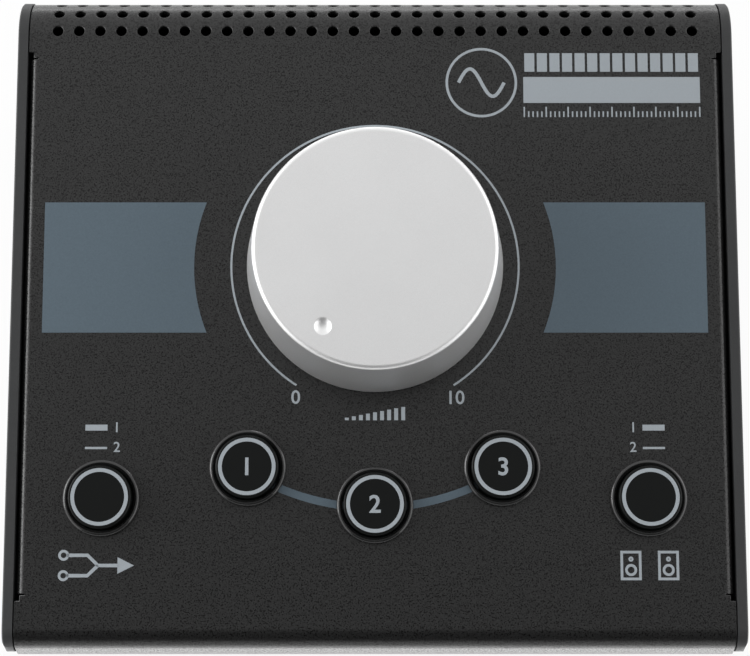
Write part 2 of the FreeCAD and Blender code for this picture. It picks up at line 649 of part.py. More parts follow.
def make_cheek(name, side):
    """A flat side plate, its outline the box's own, grown by the cheek's overhang."""
    cheek = add_body(name)
    face = add_sketch(cheek, "YZ_Plane", name + "_outline", base=("0", "0", f"{side} * inner_half"))
    front, rear = "cover_front - cheek_proud", "cover_rear + cheek_proud"
    lift = "cheek_proud / slope_cos"
    draw_path(face, [
        (front, "foot_height", "cheek_toe"),
        (rear, "foot_height", "cheek_heel"),
        (rear, f"panel_z + ({rear} - panel_y) * slope_tan + {lift}", "top_radius + cheek_proud"),
        (front, f"panel_z + ({front} - panel_y) * slope_tan + {lift}",
         "nose_radius + cheek_proud"),
    ])
    plate = add_pad(cheek, face, "cheek", reverse=side < 0)

    outer = side * number("inner_half + cheek")
    rim = [f"Edge{index}" for index, edge in enumerate(plate.Shape.Edges, 1)
           if abs(edge.BoundBox.XMin - outer) < 0.01 and abs(edge.BoundBox.XMax - outer) < 0.01]
    edge = cheek.newObject("PartDesign::Chamfer", name + "_edge")
    edge.Base = (plate, rim)
    edge.setExpression("Size", bound("cheek_edge"))
    doc.recompute()

    # round the two outer corners, seen from above
    outward = "inner_half + cheek"
    for end, tip, way in (("front", front, 1), ("rear", rear, -1)):
        corner = add_sketch(cheek, "XY_Plane", f"{name}_{end}_corner")
        inside = f"{side} * ({outward} - cheek_end - cheek_edge)"
        beyond = f"{side} * ({outward} + cheek)"
        behind = f"{tip} + {way} * (cheek_end + cheek_edge)"
        before = f"{tip} - {way} * cheek"
        draw_path(corner, [
            (f"{side} * ({outward})", behind), (f"{side} * ({outward})", tip, "cheek_end"),
            (inside, tip), (inside, before), (beyond, before), (beyond, behind),
        ])
        add_pocket(cheek, corner, "2 * wall_top", reverse=True)

    holes = add_sketch(cheek, "YZ_Plane", name + "_holes",
                       base=("0", "0", f"{side} * (inner_half + cheek)"))
    for y, z in cheek_screw_spots():
        draw_circle(holes, y, z, "screw_radius + screw_fit")
    doc.recompute()
    volume = cheek.Shape.Volume
    hole = cheek.newObject("PartDesign::Hole", name + "_countersinks")
    hole.Profile = holes
    hole.ThreadType = "None"
    hole.DepthType = "ThroughAll"
    hole.HoleCutType = "Countersink"
    hole.HoleCutCustomValues = True
    hole.HoleCutCountersinkAngle = 90
    hole.Reversed = side < 0
    hole.setExpression("Diameter", bound("2 * (screw_radius + screw_fit)"))
    hole.setExpression("HoleCutDiameter", bound("2 * (head_radius + screw_fit)"))
    doc.recompute()
    if not cheek.Shape.Volume < volume:
        raise ValueError(f"{name}: the countersinks cut nothing")
    return keep(cheek)


# ---------------------------------------------------------------- screws and feet

def make_pan_screw(name):
    """Pan-head screw: underside of the head at z = 0, shank down, hexagon in the head."""
    screw = turned_body(name, [
        ("0", "-screw_length"), ("screw_radius", "-screw_length"), ("screw_radius", "0"),
        ("head_radius", "0"), ("head_radius", "head_height", "head_height / 2"),
        ("0", "head_height"),
    ])
    socket = add_sketch(screw, "XY_Plane", name + "_socket", base=("0", "0", "head_height"))
    draw_hexagon(socket, "socket_radius")
    add_pocket(screw, socket, "socket_depth")
    return screw


def make_flat_screw(name):
    """Countersunk screw: top of the head at z = 0."""
    screw = turned_body(name, [
        ("0", "-screw_length - head_height"), ("screw_radius", "-screw_length - head_height"),
        ("screw_radius", "screw_radius - head_radius"), ("head_radius", "0"), ("0", "0"),
    ])
    socket = add_sketch(screw, "XY_Plane", name + "_socket")
    draw_hexagon(socket, "socket_radius")
    add_pocket(screw, socket, "socket_depth")
    return screw


def make_fasteners():
    """The housing's screws, as three groups."""
    pan_screw = make_pan_screw("pan_screw")
    flat_screw = make_flat_screw("flat_screw")
    head_down = (Vector(1, 0, 0), 180)
    head_back = (Vector(1, 0, 0), -90)
    add_group("base_screws", pan_screw, [
        row_spot(f"{place} * lip_screw_pitch", "cover_front + lip_screw_back", "foot_height",
                 head_down)
        for place in (-1, 0, 1)])
    add_group("rear_screws", pan_screw, [
        row_spot(f"{place} * rear_screw_pitch", y, z, head_back)
        for y, z in (("cover_rear", "rear_screw_z"), ("wall_rear", "upstand_screw_z"))
        for place in (-1, 0, 1)])
    add_group("cheek_screws", flat_screw, [
        row_spot(f"{side} * (inner_half + cheek)", y, z, (Vector(0, 1, 0), 90 * side))
        for side in (-1, 1) for y, z in cheek_screw_spots()])
    add_group("control_screws", pan_screw, [
        panel_spot(u, v, "-board_drop - board").multiply(Placement(Vector(), Rotation(*head_down)))
        for u, v in control_post_spots()])
    add_group("jack_board_screws", pan_screw, [
        row_spot(x, y, "jack_board_top") for x, y in jack_post_spots()])


def make_feet():
    foot = turned_body("foot", [
        ("0", "0"), ("foot_radius - foot_taper", "0", "foot_taper"),
        ("foot_radius", "foot_height"), ("0", "foot_height"),
    ])
    add_group("rubber_feet", foot, [
        row_spot(f"{side} * (inner_half - foot_inset_side)", y, "0")
        for side in (-1, 1)
        for y in ("cover_front + foot_inset_end", "cover_rear - foot_inset_end")])


# ---------------------------------------------------------------- boards

def control_post_spots():
    across = "(control_half - board_corner)"
    return [(f"{side} * {across}", v) for side in (-1, 1)
            for v in ("board_corner - board_front", "board_rear - board_corner")]


def jack_post_spots():
    """Posts stand between the two outermost sockets at each end, and at the board's front."""
    across = "(jack_count / 2 - 1) * jack_pitch"
    return [(f"{side} * {across}", y) for side in (-1, 1)
            for y in ("jack_board_front + board_corner", "jack_board_rear - jack_depth / 2")]


def make_post(name, height):
    return turned_body(name, [
        ("screw_radius + screw_fit", "0"), ("post_radius", "0"), ("post_radius", height),
        ("screw_radius + screw_fit", height),
    ])


def make_control_board():
    """The board under the panel that carries the potentiometer and the five switches."""
    board = add_body("control_board", u="0", h="-board_drop")
    outline = add_sketch(board, "XY_Plane", "control_outline")
    draw_rectangle(outline, "-control_half", "-board_front", "control_half", "board_rear")
    for u, v in control_post_spots():
        draw_circle(outline, u, v, "screw_radius + screw_fit")
    add_pad(board, outline, "board", reverse=True)
    keep(board)
    post = make_post("control_post", "board_drop - sheet")
    add_group("control_posts", post, [
        panel_spot(u, v, "-board_drop") for u, v in control_post_spots()])


def make_jack_board():
    """The level board at the rear that carries the sockets."""
    board = add_body("jack_board", at=("0", "0", "jack_board_low"))
    outline = add_sketch(board, "XY_Plane", "jack_board_outline")
    draw_rectangle(outline, "-jack_board_half", "jack_board_front", "jack_board_half",
                   "jack_board_rear")
    for x, y in jack_post_spots():
        draw_circle(outline, x, y, "screw_radius + screw_fit")
    add_pad(board, outline, "board")
    keep(board)
    post = make_post("jack_post", "jack_post")
    add_group("jack_board_posts", post, [
        row_spot(x, y, "pan_top") for x, y in jack_post_spots()])


def make_ribbon():
    """Two headers and the flat cable between the boards, left of the middle."""
    front = add_body("control_header", u="-header_side", v="front_header_v", h="front_header_h")
    base = add_sketch(front, "XY_Plane", "control_header_base")
    draw_rectangle(base, "-header_half", "-header_width / 2", "header_half", "header_width / 2")
    add_pad(front, base, "header_height", reverse=True)
    keep(front)

    rear = add_body("jack_header", at=("-header_side", "rear_header_y", "jack_board_top"))
    base = add_sketch(rear, "XY_Plane", "jack_header_base")
    draw_rectangle(base, "-header_half", "-header_width / 2", "header_half", "header_width / 2")
    add_pad(rear, base, "header_height")
    keep(rear)

    # in the ribbon's own frame, at the front header's lower face and tilted with the panel
    start_z = ("(panel_z + front_header_v * slope_sin"
               " + (front_header_h - header_height) * slope_cos)")
    below = f"(jack_board_top + header_height - {start_z})"

    def seen_from_start(rise):
        return (f"ribbon_span * slope_cos + ({below} + {rise}) * slope_sin",
                f"-ribbon_span * slope_sin + ({below} + {rise}) * slope_cos")

    ribbon = add_body("ribbon_cable", u="-header_side", v="front_header_v",
                      h="front_header_h - header_height")
    section = add_sketch(ribbon, "XY_Plane", "ribbon_section")
    draw_rectangle(section, "-ribbon_half", "-ribbon_thick / 2", "ribbon_half",
                   "ribbon_thick / 2")
    route = add_sketch(ribbon, "YZ_Plane", "ribbon_route")
    draw_path(route, [("0", "0"), ("0", "-ribbon_run", "ribbon_bend"),
                      (*seen_from_start("ribbon_run"), "ribbon_bend"),
                      seen_from_start("0")], closed=False)
    cable = ribbon.newObject("PartDesign::AdditivePipe", "ribbon_pipe")
    cable.Profile = section
    cable.Spine = route
    doc.recompute()
    keep(ribbon)


# ---------------------------------------------------------------- jack sockets

def make_jack_socket(index):
    """A quarter-inch socket: its origin on the bore's axis at the rear wall's inner face."""
    name = f"jack_socket_{index + 1}"
    socket = add_body(name, at=(jack_x(index), "wall_inner", "jack_z"))
    shell = add_sketch(socket, "XZ_Plane", name + "_shell")
    draw_rectangle(shell, "-jack_half", "-jack_axis", "jack_half", "jack_height - jack_axis")
    add_pad(socket, shell, "jack_depth")
    bushing = add_sketch(socket, "XZ_Plane", name + "_bushing")
    draw_circle(bushing, "0", "0", "jack_bushing")
    add_pad(socket, bushing, "sheet + jack_out", reverse=True)
    bore = add_sketch(socket, "XZ_Plane", name + "_bore", base=("0", "0", "-sheet - jack_out"))
    draw_circle(bore, "0", "0", "jack_bore")
    add_pocket(socket, bore, "sheet + jack_out + jack_depth - jack_floor", reverse=True)
    return keep(socket)


def make_nut(name, flats, bore):
    nut = add_body(name)
    outline = add_sketch(nut, "XY_Plane", name + "_outline")
    draw_hexagon(outline, f"{flats} / 2 / cos(30deg)")
    draw_circle(outline, "0", "0", bore)
    add_pad(nut, outline, "nut_thick")
    return nut


def make_washer(name, radius, bore, **place):
    return turned_body(name, [(bore, "0"), (radius, "0"), (radius, "washer_thick"),
                              (bore, "washer_thick")], **place)


def make_jack_row():
    count = int(number("jack_count"))
    for index in range(count):
        make_jack_socket(index)
    facing_back = (Vector(1, 0, 0), -90)
    bore = "jack_bushing + pot_hole_fit / 2"
    nut = make_nut("jack_nut", "jack_nut_flats", bore)
    washer = make_washer("jack_washer", "jack_washer_radius", bore)
    add_group("jack_washers", washer, [
        row_spot(jack_x(index), "wall_rear", "jack_z", facing_back) for index in range(count)])
    add_group("jack_nuts", nut, [
        row_spot(jack_x(index), "wall_rear + washer_thick", "jack_z", facing_back)
        for index in range(count)])


# ---------------------------------------------------------------- volume control

def shaft_outline(sketch, radius, flat):
    """A D: a circle of the radius, cut straight across at the flat's distance in +y."""
    reach = math.sqrt(number(radius) ** 2 - number(flat) ** 2)
    start = math.atan2(number(flat), -reach)
    end = math.atan2(number(flat), reach) + 2 * math.pi
    circle = Part.Circle(Vector(), Vector(0, 0, 1), number(radius))
    arc = sketch.addGeometry(Part.ArcOfCircle(circle, start, end))
    line = sketch.addGeometry(Part.LineSegment(Vector(reach, number(flat), 0),
                                               Vector(-reach, number(flat), 0)))
    sketch.addConstraint([
        Sketcher.Constraint("Coincident", arc, 3, -1, 1),
        Sketcher.Constraint("Coincident", arc, 2, line, 1),
        Sketcher.Constraint("Coincident", line, 2, arc, 1),
        Sketcher.Constraint("Horizontal", line),
    ])
    bind_size(sketch, radius, "Radius", arc)
    bind_size(sketch, flat, "DistanceY", -1, 1, line, 1)


def make_volume_knob():
    """A turned aluminium cap, hollow below, with a round dimple for a pointer."""
    knob = turned_body("volume_knob", [
        ("0", "knob_height"),
        ("0", "hub_top"),
        ("knob_top_radius - knob_wall", "hub_top"),
        ("knob_base_radius - knob_wall", "knob_gap"),
        ("knob_base_radius", "knob_gap"),
        ("knob_top_radius", "knob_height", "knob_edge"),
    ], u="0")
    volume = knob.Shape.Volume
    dimple = knob.newObject("PartDesign::SubtractiveSphere", "pointer_dimple")
    ball = "(dimple_radius ^ 2 + dimple_depth ^ 2) / (2 * dimple_depth)"
    dimple.AttachmentSupport = [(origin_plane(knob, "XY_Plane"), "")]
    dimple.MapMode = "FlatFace"
    dimple.setExpression("Radius", bound(ball))
    dimple.setExpression("AttachmentOffset.Base.x",
                         bound("-dimple_reach * sin(dimple_angle * 1deg)"))
    dimple.setExpression("AttachmentOffset.Base.y",
                         bound("-dimple_reach * cos(dimple_angle * 1deg)"))
    dimple.setExpression("AttachmentOffset.Base.z", bound(f"knob_height - dimple_depth + {ball}"))
    doc.recompute()
    if not knob.Shape.Volume < volume:
        raise ValueError("the pointer dimple cuts nothing")
    keep(knob)

    hub = turned_body("knob_hub", [
        ("0", "hub_lift"), ("hub_radius", "hub_lift"), ("hub_radius", "hub_top - hub_flange"),
        ("hub_flange_radius", "hub_top - hub_flange"), ("hub_flange_radius", "hub_top"),
        ("0", "hub_top"),
    ], u="0")
    bore = add_sketch(hub, "XY_Plane", "hub_bore", base=("0", "0", "hub_lift"))
    shaft_outline(bore, "shaft_radius + shaft_fit", "shaft_flat + shaft_fit")
    add_pocket(hub, bore, "shaft_engage", reverse=True)
    keep(hub)


def make_potentiometer():
    """Can, bushing with its plate, washer, nut and the shaft that turns in them."""
    bore = "shaft_radius + shaft_fit"
    can = turned_body("pot_case", [
        (bore, "can_top"), (bore, "can_top - pot_cavity"), ("0", "can_top - pot_cavity"),
        ("0", "-board_drop"), ("pot_radius", "-board_drop"), ("pot_radius", "can_top"),
    ], u="0")
    keep(can)

    bushing = add_body("pot_bushing", u="0")
    plate = add_sketch(bushing, "XY_Plane", "bushing_plate_outline", base=("0", "0", "-sheet"))
    draw_rectangle(plate, "-pot_half", "-pot_half", "pot_half", "pot_half")
    draw_circle(plate, "0", "0", bore)
    add_pad(bushing, plate, "bushing_plate", reverse=True)
    thread = add_sketch(bushing, "XY_Plane", "bushing_thread", base=("0", "0", "-sheet"))
    draw_circle(thread, "0", "0", "bushing_radius")
    draw_circle(thread, "0", "0", bore)
    add_pad(bushing, thread, "sheet + bushing_height")
    keep(bushing)

    around = "bushing_radius + pot_hole_fit / 2"
    keep(make_washer("pot_washer", "pot_washer_radius", around, u="0"))
    nut = add_body("pot_nut", u="0", h="washer_thick")
    outline = add_sketch(nut, "XY_Plane", "pot_nut_outline")
    draw_hexagon(outline, "pot_nut_flats / 2 / cos(30deg)")
    draw_circle(outline, "0", "0", around)
    add_pad(nut, outline, "nut_thick")
    keep(nut)

    shaft = add_body("pot_shaft", u="0")
    foot = "can_top - pot_cavity + shaft_fit"
    lower = add_sketch(shaft, "XY_Plane", "shaft_lower", base=("0", "0", foot))
    draw_circle(lower, "0", "0", "shaft_radius")
    add_pad(shaft, lower, f"hub_lift - ({foot})")
    upper = add_sketch(shaft, "XY_Plane", "shaft_upper", base=("0", "0", "hub_lift"))
    shaft_outline(upper, "shaft_radius", "shaft_flat")
    add_pad(shaft, upper, "shaft_engage")
    keep(shaft)


# ---------------------------------------------------------------- push buttons

# button: (u, v) on the panel
BUTTONS = {
    "source_select": ("-select_u", "-select_v"),
    "mono": ("-middle_u", "-middle_v"),
    "mute": ("0", "-centre_v"),
    "dim": ("middle_u", "-middle_v"),
    "monitor_select": ("select_u", "-select_v"),
}


def make_button(name, u, v):
    """Bezel in the panel, sprung switch on the board, and the cap and plunger that move."""
    inner = "cap_radius + cap_clear"
    keep(turned_body(f"{name}_bezel", [
        (inner, "-bezel_depth"), ("bezel_sleeve", "-bezel_depth"), ("bezel_sleeve", "0"),
        ("bezel_radius", "0"), ("bezel_radius", "bezel_height", "bezel_round"),
        ("bezel_radius - bezel_rim", "bezel_height"), (inner, "bezel_height - bezel_dish"),
    ], u=u, v=v))

    cap = turned_body(f"{name}_cap", [
        ("0", "cap_height"), ("0", "-cap_boss_depth"), ("cap_boss", "-cap_boss_depth"),
        ("cap_boss", "cap_bottom_inside"), ("cap_radius - cap_wall", "cap_bottom_inside"),
        ("cap_radius - cap_wall", "-cap_skirt"), ("cap_radius", "-cap_skirt"),
        ("cap_radius", "cap_height", "cap_round"),
    ], u=u, v=v)
    socket = add_sketch(cap, "XY_Plane", f"{name}_cap_socket",
                        base=("0", "0", "-cap_boss_depth"))
    draw_rectangle(socket, *["-plunger_half"] * 2, *["plunger_half"] * 2)
    add_pocket(cap, socket, "plunger_grip", reverse=True)
    keep(cap)

    plunger = add_body(f"{name}_plunger", u=u, v=v)
    foot = "(switch_top - plunger_entry)"
    section = add_sketch(plunger, "XY_Plane", f"{name}_plunger_section", base=("0", "0", foot))
    draw_rectangle(section, *["-plunger_half"] * 2, *["plunger_half"] * 2)
    add_pad(plunger, section, f"socket_top - {foot}")
    keep(plunger)

    switch = add_body(f"{name}_switch", u=u, v=v)
    case = add_sketch(switch, "XY_Plane", f"{name}_switch_case", base=("0", "0", "-board_drop"))
    draw_rectangle(case, *["-switch_half"] * 2, *["switch_half"] * 2)
    add_pad(switch, case, "switch_height")
    well = add_sketch(switch, "XY_Plane", f"{name}_switch_well", base=("0", "0", "switch_top"))
    half = "plunger_half + switch_play"
    draw_rectangle(well, *[f"-({half})"] * 2, *[half] * 2)
    add_pocket(switch, well, "switch_height - switch_floor")
    keep(switch)


# ---------------------------------------------------------------- build, check and write

def check_document():
    """Stop if any object failed to build or any sub-part's shape is not sound."""
    failed = [item.Name for item in doc.Objects
              if "Invalid" in item.State or "Error" in item.State]
    if failed:
        raise RuntimeError(f"failed objects: {failed}")
    unsound = [name for name, part in parts.items()
               if part.Shape.isNull() or not part.Shape.isValid()]
    if unsound:
        raise RuntimeError(f"unsound shapes: {unsound}")


make_top_cover()
make_base_pan()
make_rear_panel()
make_cheek("left_cheek", -1)
make_cheek("right_cheek", 1)
make_feet()
make_control_board()
make_jack_board()
make_ribbon()
make_jack_row()
make_fasteners()
make_volume_knob()
make_potentiometer()
for button, (button_u, button_v) in BUTTONS.items():
    make_button(button, button_u, button_v)

doc.recompute()
check_document()
os.makedirs("parts", exist_ok=True)
for name, part in parts.items():
    part.Shape.exportStep(f"parts/{name}.step")
print(f"{len(parts)} nodes written")
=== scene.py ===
import json
import math
from itertools import cycle

import bpy
import numpy as np
from mathutils import Matrix, Vector
from mathutils.geometry import delaunay_2d_cdt


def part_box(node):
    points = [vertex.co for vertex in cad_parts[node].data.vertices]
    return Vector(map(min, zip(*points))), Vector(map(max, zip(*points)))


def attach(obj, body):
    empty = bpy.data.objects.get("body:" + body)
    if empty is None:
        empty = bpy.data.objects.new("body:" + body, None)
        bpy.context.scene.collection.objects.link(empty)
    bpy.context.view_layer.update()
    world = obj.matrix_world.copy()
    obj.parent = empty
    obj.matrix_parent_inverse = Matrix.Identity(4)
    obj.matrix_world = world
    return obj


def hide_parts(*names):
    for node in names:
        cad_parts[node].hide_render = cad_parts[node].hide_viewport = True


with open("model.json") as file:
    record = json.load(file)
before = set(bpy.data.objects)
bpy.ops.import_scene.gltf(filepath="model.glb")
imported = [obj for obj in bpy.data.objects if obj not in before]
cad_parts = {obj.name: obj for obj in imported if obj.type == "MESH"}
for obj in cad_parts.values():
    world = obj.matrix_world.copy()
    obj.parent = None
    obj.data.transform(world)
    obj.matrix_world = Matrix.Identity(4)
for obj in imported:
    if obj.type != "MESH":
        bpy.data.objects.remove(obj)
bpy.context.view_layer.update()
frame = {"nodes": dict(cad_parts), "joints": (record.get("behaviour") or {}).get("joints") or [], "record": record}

# Studio monitor controller: its finish, its printing and the pieces with finer detail than the
# CAD solids. Sizes are millimetres in the panel frame, where u runs to the right, v up the
# sloping panel and h out of it, with its origin where the knob's axis meets the panel. Pieces
# behind and below use the row frame, also in millimetres.

MM = 0.001


def node_box(node):
    """A CAD node's lowest and highest corner, in millimetres."""
    low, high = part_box(node)
    return low / MM, high / MM


# ---- frames

turn_joint = next(joint for joint in frame["joints"] if joint["name"] == "volume_turn")
OUT = -Vector(turn_joint["axis"]).normalized()
ACROSS = Vector((1, 0, 0))
KNOB_FOOT = Vector(turn_joint["pos_m"])
PANEL = Matrix((ACROSS, OUT.cross(ACROSS), OUT)).transposed().to_4x4()
PANEL.translation = KNOB_FOOT
ON_PANEL = PANEL @ Matrix.Scale(MM, 4)
IN_ROW = Matrix.Scale(MM, 4)
SLOPE = math.atan2(-OUT.y, OUT.z)


def on_panel(u, v, h=0.0):
    """The frame of a piece that stands on the panel at a point."""
    return ON_PANEL @ Matrix.Translation((u, v, h))


def facing_back(x, y, z):
    """The frame of a piece whose axis points to the rear, from a point of the row frame."""
    return IN_ROW @ Matrix.Translation((x, y, z)) @ Matrix.Rotation(-math.pi / 2, 4, "X")


# ---- outlines

class Stretch:
    """A straight or evenly curved piece of an outline."""

    def __init__(self, start, heading, length, curve=0.0):
        self.start, self.heading, self.length, self.curve = start, heading, length, curve

    def at(self, distance):
        """The point and the heading at a distance from the start."""
        if not self.curve:
            way = Vector((math.cos(self.heading), math.sin(self.heading)))
            return self.start + way * distance, self.heading
        heading = self.heading + self.curve * distance
        step = Vector((math.sin(heading) - math.sin(self.heading),
                       math.cos(self.heading) - math.cos(heading)))
        return self.start + step / self.curve, heading

    def stops(self, step):
        """Points and headings along the stretch, one more wherever it has turned by a step."""
        count = max(1, math.ceil(abs(self.curve) * self.length / step))
        return [self.at(self.length * index / count) for index in range(count + 1)]


def outline(corners, closed=True):
    """Straight stretches through (x, y) corners, with tangent arcs at (x, y, radius) ones."""
    count = len(corners)
    points = [Vector(corner[:2]) for corner in corners]
    sides = count if closed else count - 1
    ways = [points[(index + 1) % count] - points[index] for index in range(sides)]
    headings = [math.atan2(way.y, way.x) for way in ways]
    turns, reaches = [0.0] * count, [0.0] * count
    for index in range(0 if closed else 1, sides):
        turn = headings[index] - headings[index - 1]
        turns[index] = (turn + math.pi) % math.tau - math.pi
        if len(corners[index]) > 2:
            reaches[index] = corners[index][2] * math.tan(abs(turns[index]) / 2)
    stretches = []
    for index in range(sides):
        following = (index + 1) % count
        way = ways[index].normalized()
        length = ways[index].length - reaches[index] - reaches[following]
        start = points[index] + way * reaches[index]
        stretches.append(Stretch(start, headings[index], length))
        if reaches[following]:
            radius = corners[following][2]
            stretches.append(Stretch(start + way * length, headings[index],
                                     radius * abs(turns[following]),
                                     math.copysign(1 / radius, turns[following])))
    return stretches


# ---- meshes

TURN_STEP = math.radians(8)
ON_AXIS = 1e-4


class Surface:
    """Points and faces, with a normal for every corner of every face."""

    def __init__(self):
        self.points, self.faces, self.normals = [], [], []

    def add_points(self, points):
        first = len(self.points)
        self.points.extend(Vector(point) for point in points)
        return list(range(first, len(self.points)))

    def add_face(self, corners, normals=None):
        """Add one face; without normals it is flat."""
        if normals is None:
            a, b, c = (self.points[corner] for corner in corners[:3])
            normals = [(b - a).cross(c - a).normalized()] * len(corners)
        self.faces.append(corners)
        self.normals.extend(normals)

    def join(self, other, place=Matrix.Identity(4)):
        """Add a copy of another surface, moved by a matrix without scale."""
        first = len(self.points)
        turn = place.to_3x3()
        self.points.extend(place @ point for point in other.points)
        self.faces.extend([first + corner for corner in face] for face in other.faces)
        self.normals.extend(turn @ normal for normal in other.normals)


def rectangle(left, low, right, high):
    return [(left, low), (right, low), (right, high), (left, high)]


def ring_of(radius, height, segments):
    angles = (math.tau * index / segments for index in range(segments))
    return [(radius * math.cos(angle), radius * math.sin(angle), height) for angle in angles]


def turned(stretches, segments, step=TURN_STEP):
    """Turn an outline of (radius, height) round the axis, with its outside on its right."""
    surface = Surface()
    rings = {}

    def ring_at(point):
        key = (round(point.x, 4), round(point.y, 4))
        if key not in rings:
            if point.x < ON_AXIS:
                rings[key] = surface.add_points([(0, 0, point.y)]) * segments
            else:
                rings[key] = surface.add_points(ring_of(point.x, point.y, segments))
        return rings[key]

    for stretch in stretches:
        stops = stretch.stops(step)
        for (start, first), (end, last) in zip(stops, stops[1:]):
            if max(start.x, end.x) < ON_AXIS:
                continue
            inner, outer = ring_at(start), ring_at(end)
            for index in range(segments):
                after = (index + 1) % segments
                corners, normals = [], []
                for ring, place, heading in ((inner, index, first), (inner, after, first),
                                             (outer, after, last), (outer, index, last)):
                    if ring[place] in corners:
                        continue
                    angle = math.tau * place / segments
                    corners.append(ring[place])
                    normals.append(Vector((math.sin(heading) * math.cos(angle),
                                           math.sin(heading) * math.sin(angle),
                                           -math.cos(heading))))
                surface.add_face(corners, normals)
    surface.last_ring = ring_at(stretches[-1].at(stretches[-1].length)[0])
    surface.first_ring = ring_at(stretches[0].start)
    return surface


def place_mesh(name, mesh, material, body):
    """Make an object of a mesh, riding on a body of the frame."""
    mesh.materials.clear()
    mesh.materials.append(material)
    piece = bpy.data.objects.new(name, mesh)
    bpy.context.scene.collection.objects.link(piece)
    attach(piece, body)
    return piece


def add_piece(name, surface, body, slot, place, replaced=(), material=None):
    """Make a piece of a surface; without a material it has its slot's."""
    mesh = bpy.data.meshes.new(name)
    mesh.from_pydata(surface.points, [], surface.faces)
    mesh.transform(place)
    mesh.polygons.foreach_set("use_smooth", [True] * len(mesh.polygons))
    turn = place.to_quaternion()
    mesh.normals_split_custom_set([turn @ normal for normal in surface.normals])
    piece = place_mesh(name, mesh, material or MATERIALS[slot], body)
    if replaced:
        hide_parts(*replaced)


# ---- materials

NOISE_RANGE = (0.3, 0.7)


class Nodes:
    """A node tree and short ways to add to it."""

    def __init__(self, owner):
        owner.use_nodes = True
        self.tree = owner.node_tree

    def node(self, kind, **settings):
        node = self.tree.nodes.new(kind)
        for key, value in settings.items():
            setattr(node, key, value)
        return node

    def link(self, output, socket):
        self.tree.links.new(output, socket)

    def math(self, operation, first, second):
        node = self.node("ShaderNodeMath", operation=operation)
        for value, socket in ((first, node.inputs[0]), (second, node.inputs[1])):
            if isinstance(value, (int, float)):
                socket.default_value = value
            else:
                self.link(value, socket)
        return node.outputs["Value"]

    def remap(self, value, low, high, to_low, to_high, shape="LINEAR"):
        node = self.node("ShaderNodeMapRange", interpolation_type=shape)
        for socket, number in (("From Min", low), ("From Max", high),
                               ("To Min", to_low), ("To Max", to_high)):
            node.inputs[socket].default_value = number
        self.link(value, node.inputs["Value"])
        return node.outputs["Result"]

    def mix(self, share, first, second, output):
        """Join two shaders in an output node, the second one by a share."""
        mix = self.node("ShaderNodeMixShader")
        for source, socket in zip((share, first.outputs[0], second.outputs[0]), mix.inputs):
            self.link(source, socket)
        self.link(mix.outputs[0], self.tree.nodes[output].inputs["Surface"])


class Finish(Nodes):
    """A Principled material."""

    def __init__(self, name, colour, roughness, **values):
        self.material = bpy.data.materials.new(name)
        super().__init__(self.material)
        self.shader = self.tree.nodes["Principled BSDF"]
        self.colour = colour
        values.update(Base_Color=(*colour, 1), Roughness=roughness)
        for socket, value in values.items():
            self.shader.inputs[socket.replace("_", " ")].default_value = value
        self.place = self.node("ShaderNodeTexCoord").outputs["Object"]

    def drive(self, socket, output):
        self.link(output, self.shader.inputs[socket])

    def noise(self, grain, detail=2.0, rough=0.5):
        """Noise of a grain size in millimetres, from 0 to 1."""
        node = self.node("ShaderNodeTexNoise")
        node.inputs["Scale"].default_value = 1 / (grain * MM)
        node.inputs["Detail"].default_value = detail
        node.inputs["Roughness"].default_value = rough
        self.link(self.place, node.inputs["Vector"])
        return node.outputs["Fac"]

    def spread(self, noise, low, high):
        """Map the range that noise mostly has to another."""
        return self.remap(noise, *NOISE_RANGE, low, high)

    def shade(self, factor, *others):
        """Multiply the base colour by factors."""
        for other in others:
            factor = self.math("MULTIPLY", factor, other)
        node = self.node("ShaderNodeVectorMath", operation="SCALE")
        node.inputs["Vector"].default_value = self.colour
        self.link(factor, node.inputs["Scale"])
        self.drive("Base Color", node.outputs["Vector"])

    def bump(self, height, depth, strength=1.0, socket="Normal"):
        """Bump of a depth in millimetres."""
        node = self.node("ShaderNodeBump")
        node.inputs["Strength"].default_value = strength
        node.inputs["Distance"].default_value = depth * MM
        self.link(height, node.inputs["Height"])
        self.drive(socket, node.outputs["Normal"])


def powder_coat():
    """Black powder coat: fine orange peel with small dark pits."""
    finish = Finish("powder_coat", (0.0108, 0.011, 0.0109), 0.5, Specular_IOR_Level=0.1,
                    Coat_Roughness=0.25)
    peel = finish.noise(0.6, 2, 0.6)
    pits = finish.remap(finish.noise(0.42, 1), 0.36, 0.52, 0.05, 1)
    drift = finish.spread(finish.noise(14, 2), 0.94, 1.06)
    grain = finish.spread(finish.noise(0.3, 2), 0.5, 1.5)
    finish.shade(drift, grain, pits)
    finish.bump(finish.math("ADD", peel, pits), 0.02, 0.8)
    finish.bump(peel, 0.05, 1.0, "Coat Normal")
    finish.drive("Coat Weight", finish.remap(pits, 0, 1, 0.6, 1))
    return finish.material


def satin_charcoal():
    """Charcoal paint of the cheeks, a little lighter and smoother than the cover's."""
    finish = Finish("satin_charcoal", (0.034, 0.035, 0.036), 0.48, Specular_IOR_Level=0.4)
    grain = finish.noise(0.35, 3, 0.6)
    drift = finish.noise(9, 2)
    finish.shade(finish.spread(grain, 0.85, 1.15), finish.spread(drift, 0.95, 1.05))
    finish.drive("Roughness", finish.spread(grain, 0.42, 0.54))
    finish.bump(grain, 0.02, 0.7)
    return finish.material


def blasted_aluminium():
    """Bead-blasted, clear anodised aluminium."""
    finish = Finish("blasted_aluminium", (0.94, 0.94, 0.942), 0.45, Metallic=0.92)
    grain = finish.noise(0.16, 3, 0.65)
    drift = finish.noise(22, 2)
    finish.shade(finish.spread(grain, 0.94, 1.06), finish.spread(drift, 0.985, 1.015))
    finish.drive("Roughness", finish.spread(grain, 0.4, 0.5))
    finish.bump(grain, 0.008, 0.6)
    return finish.material


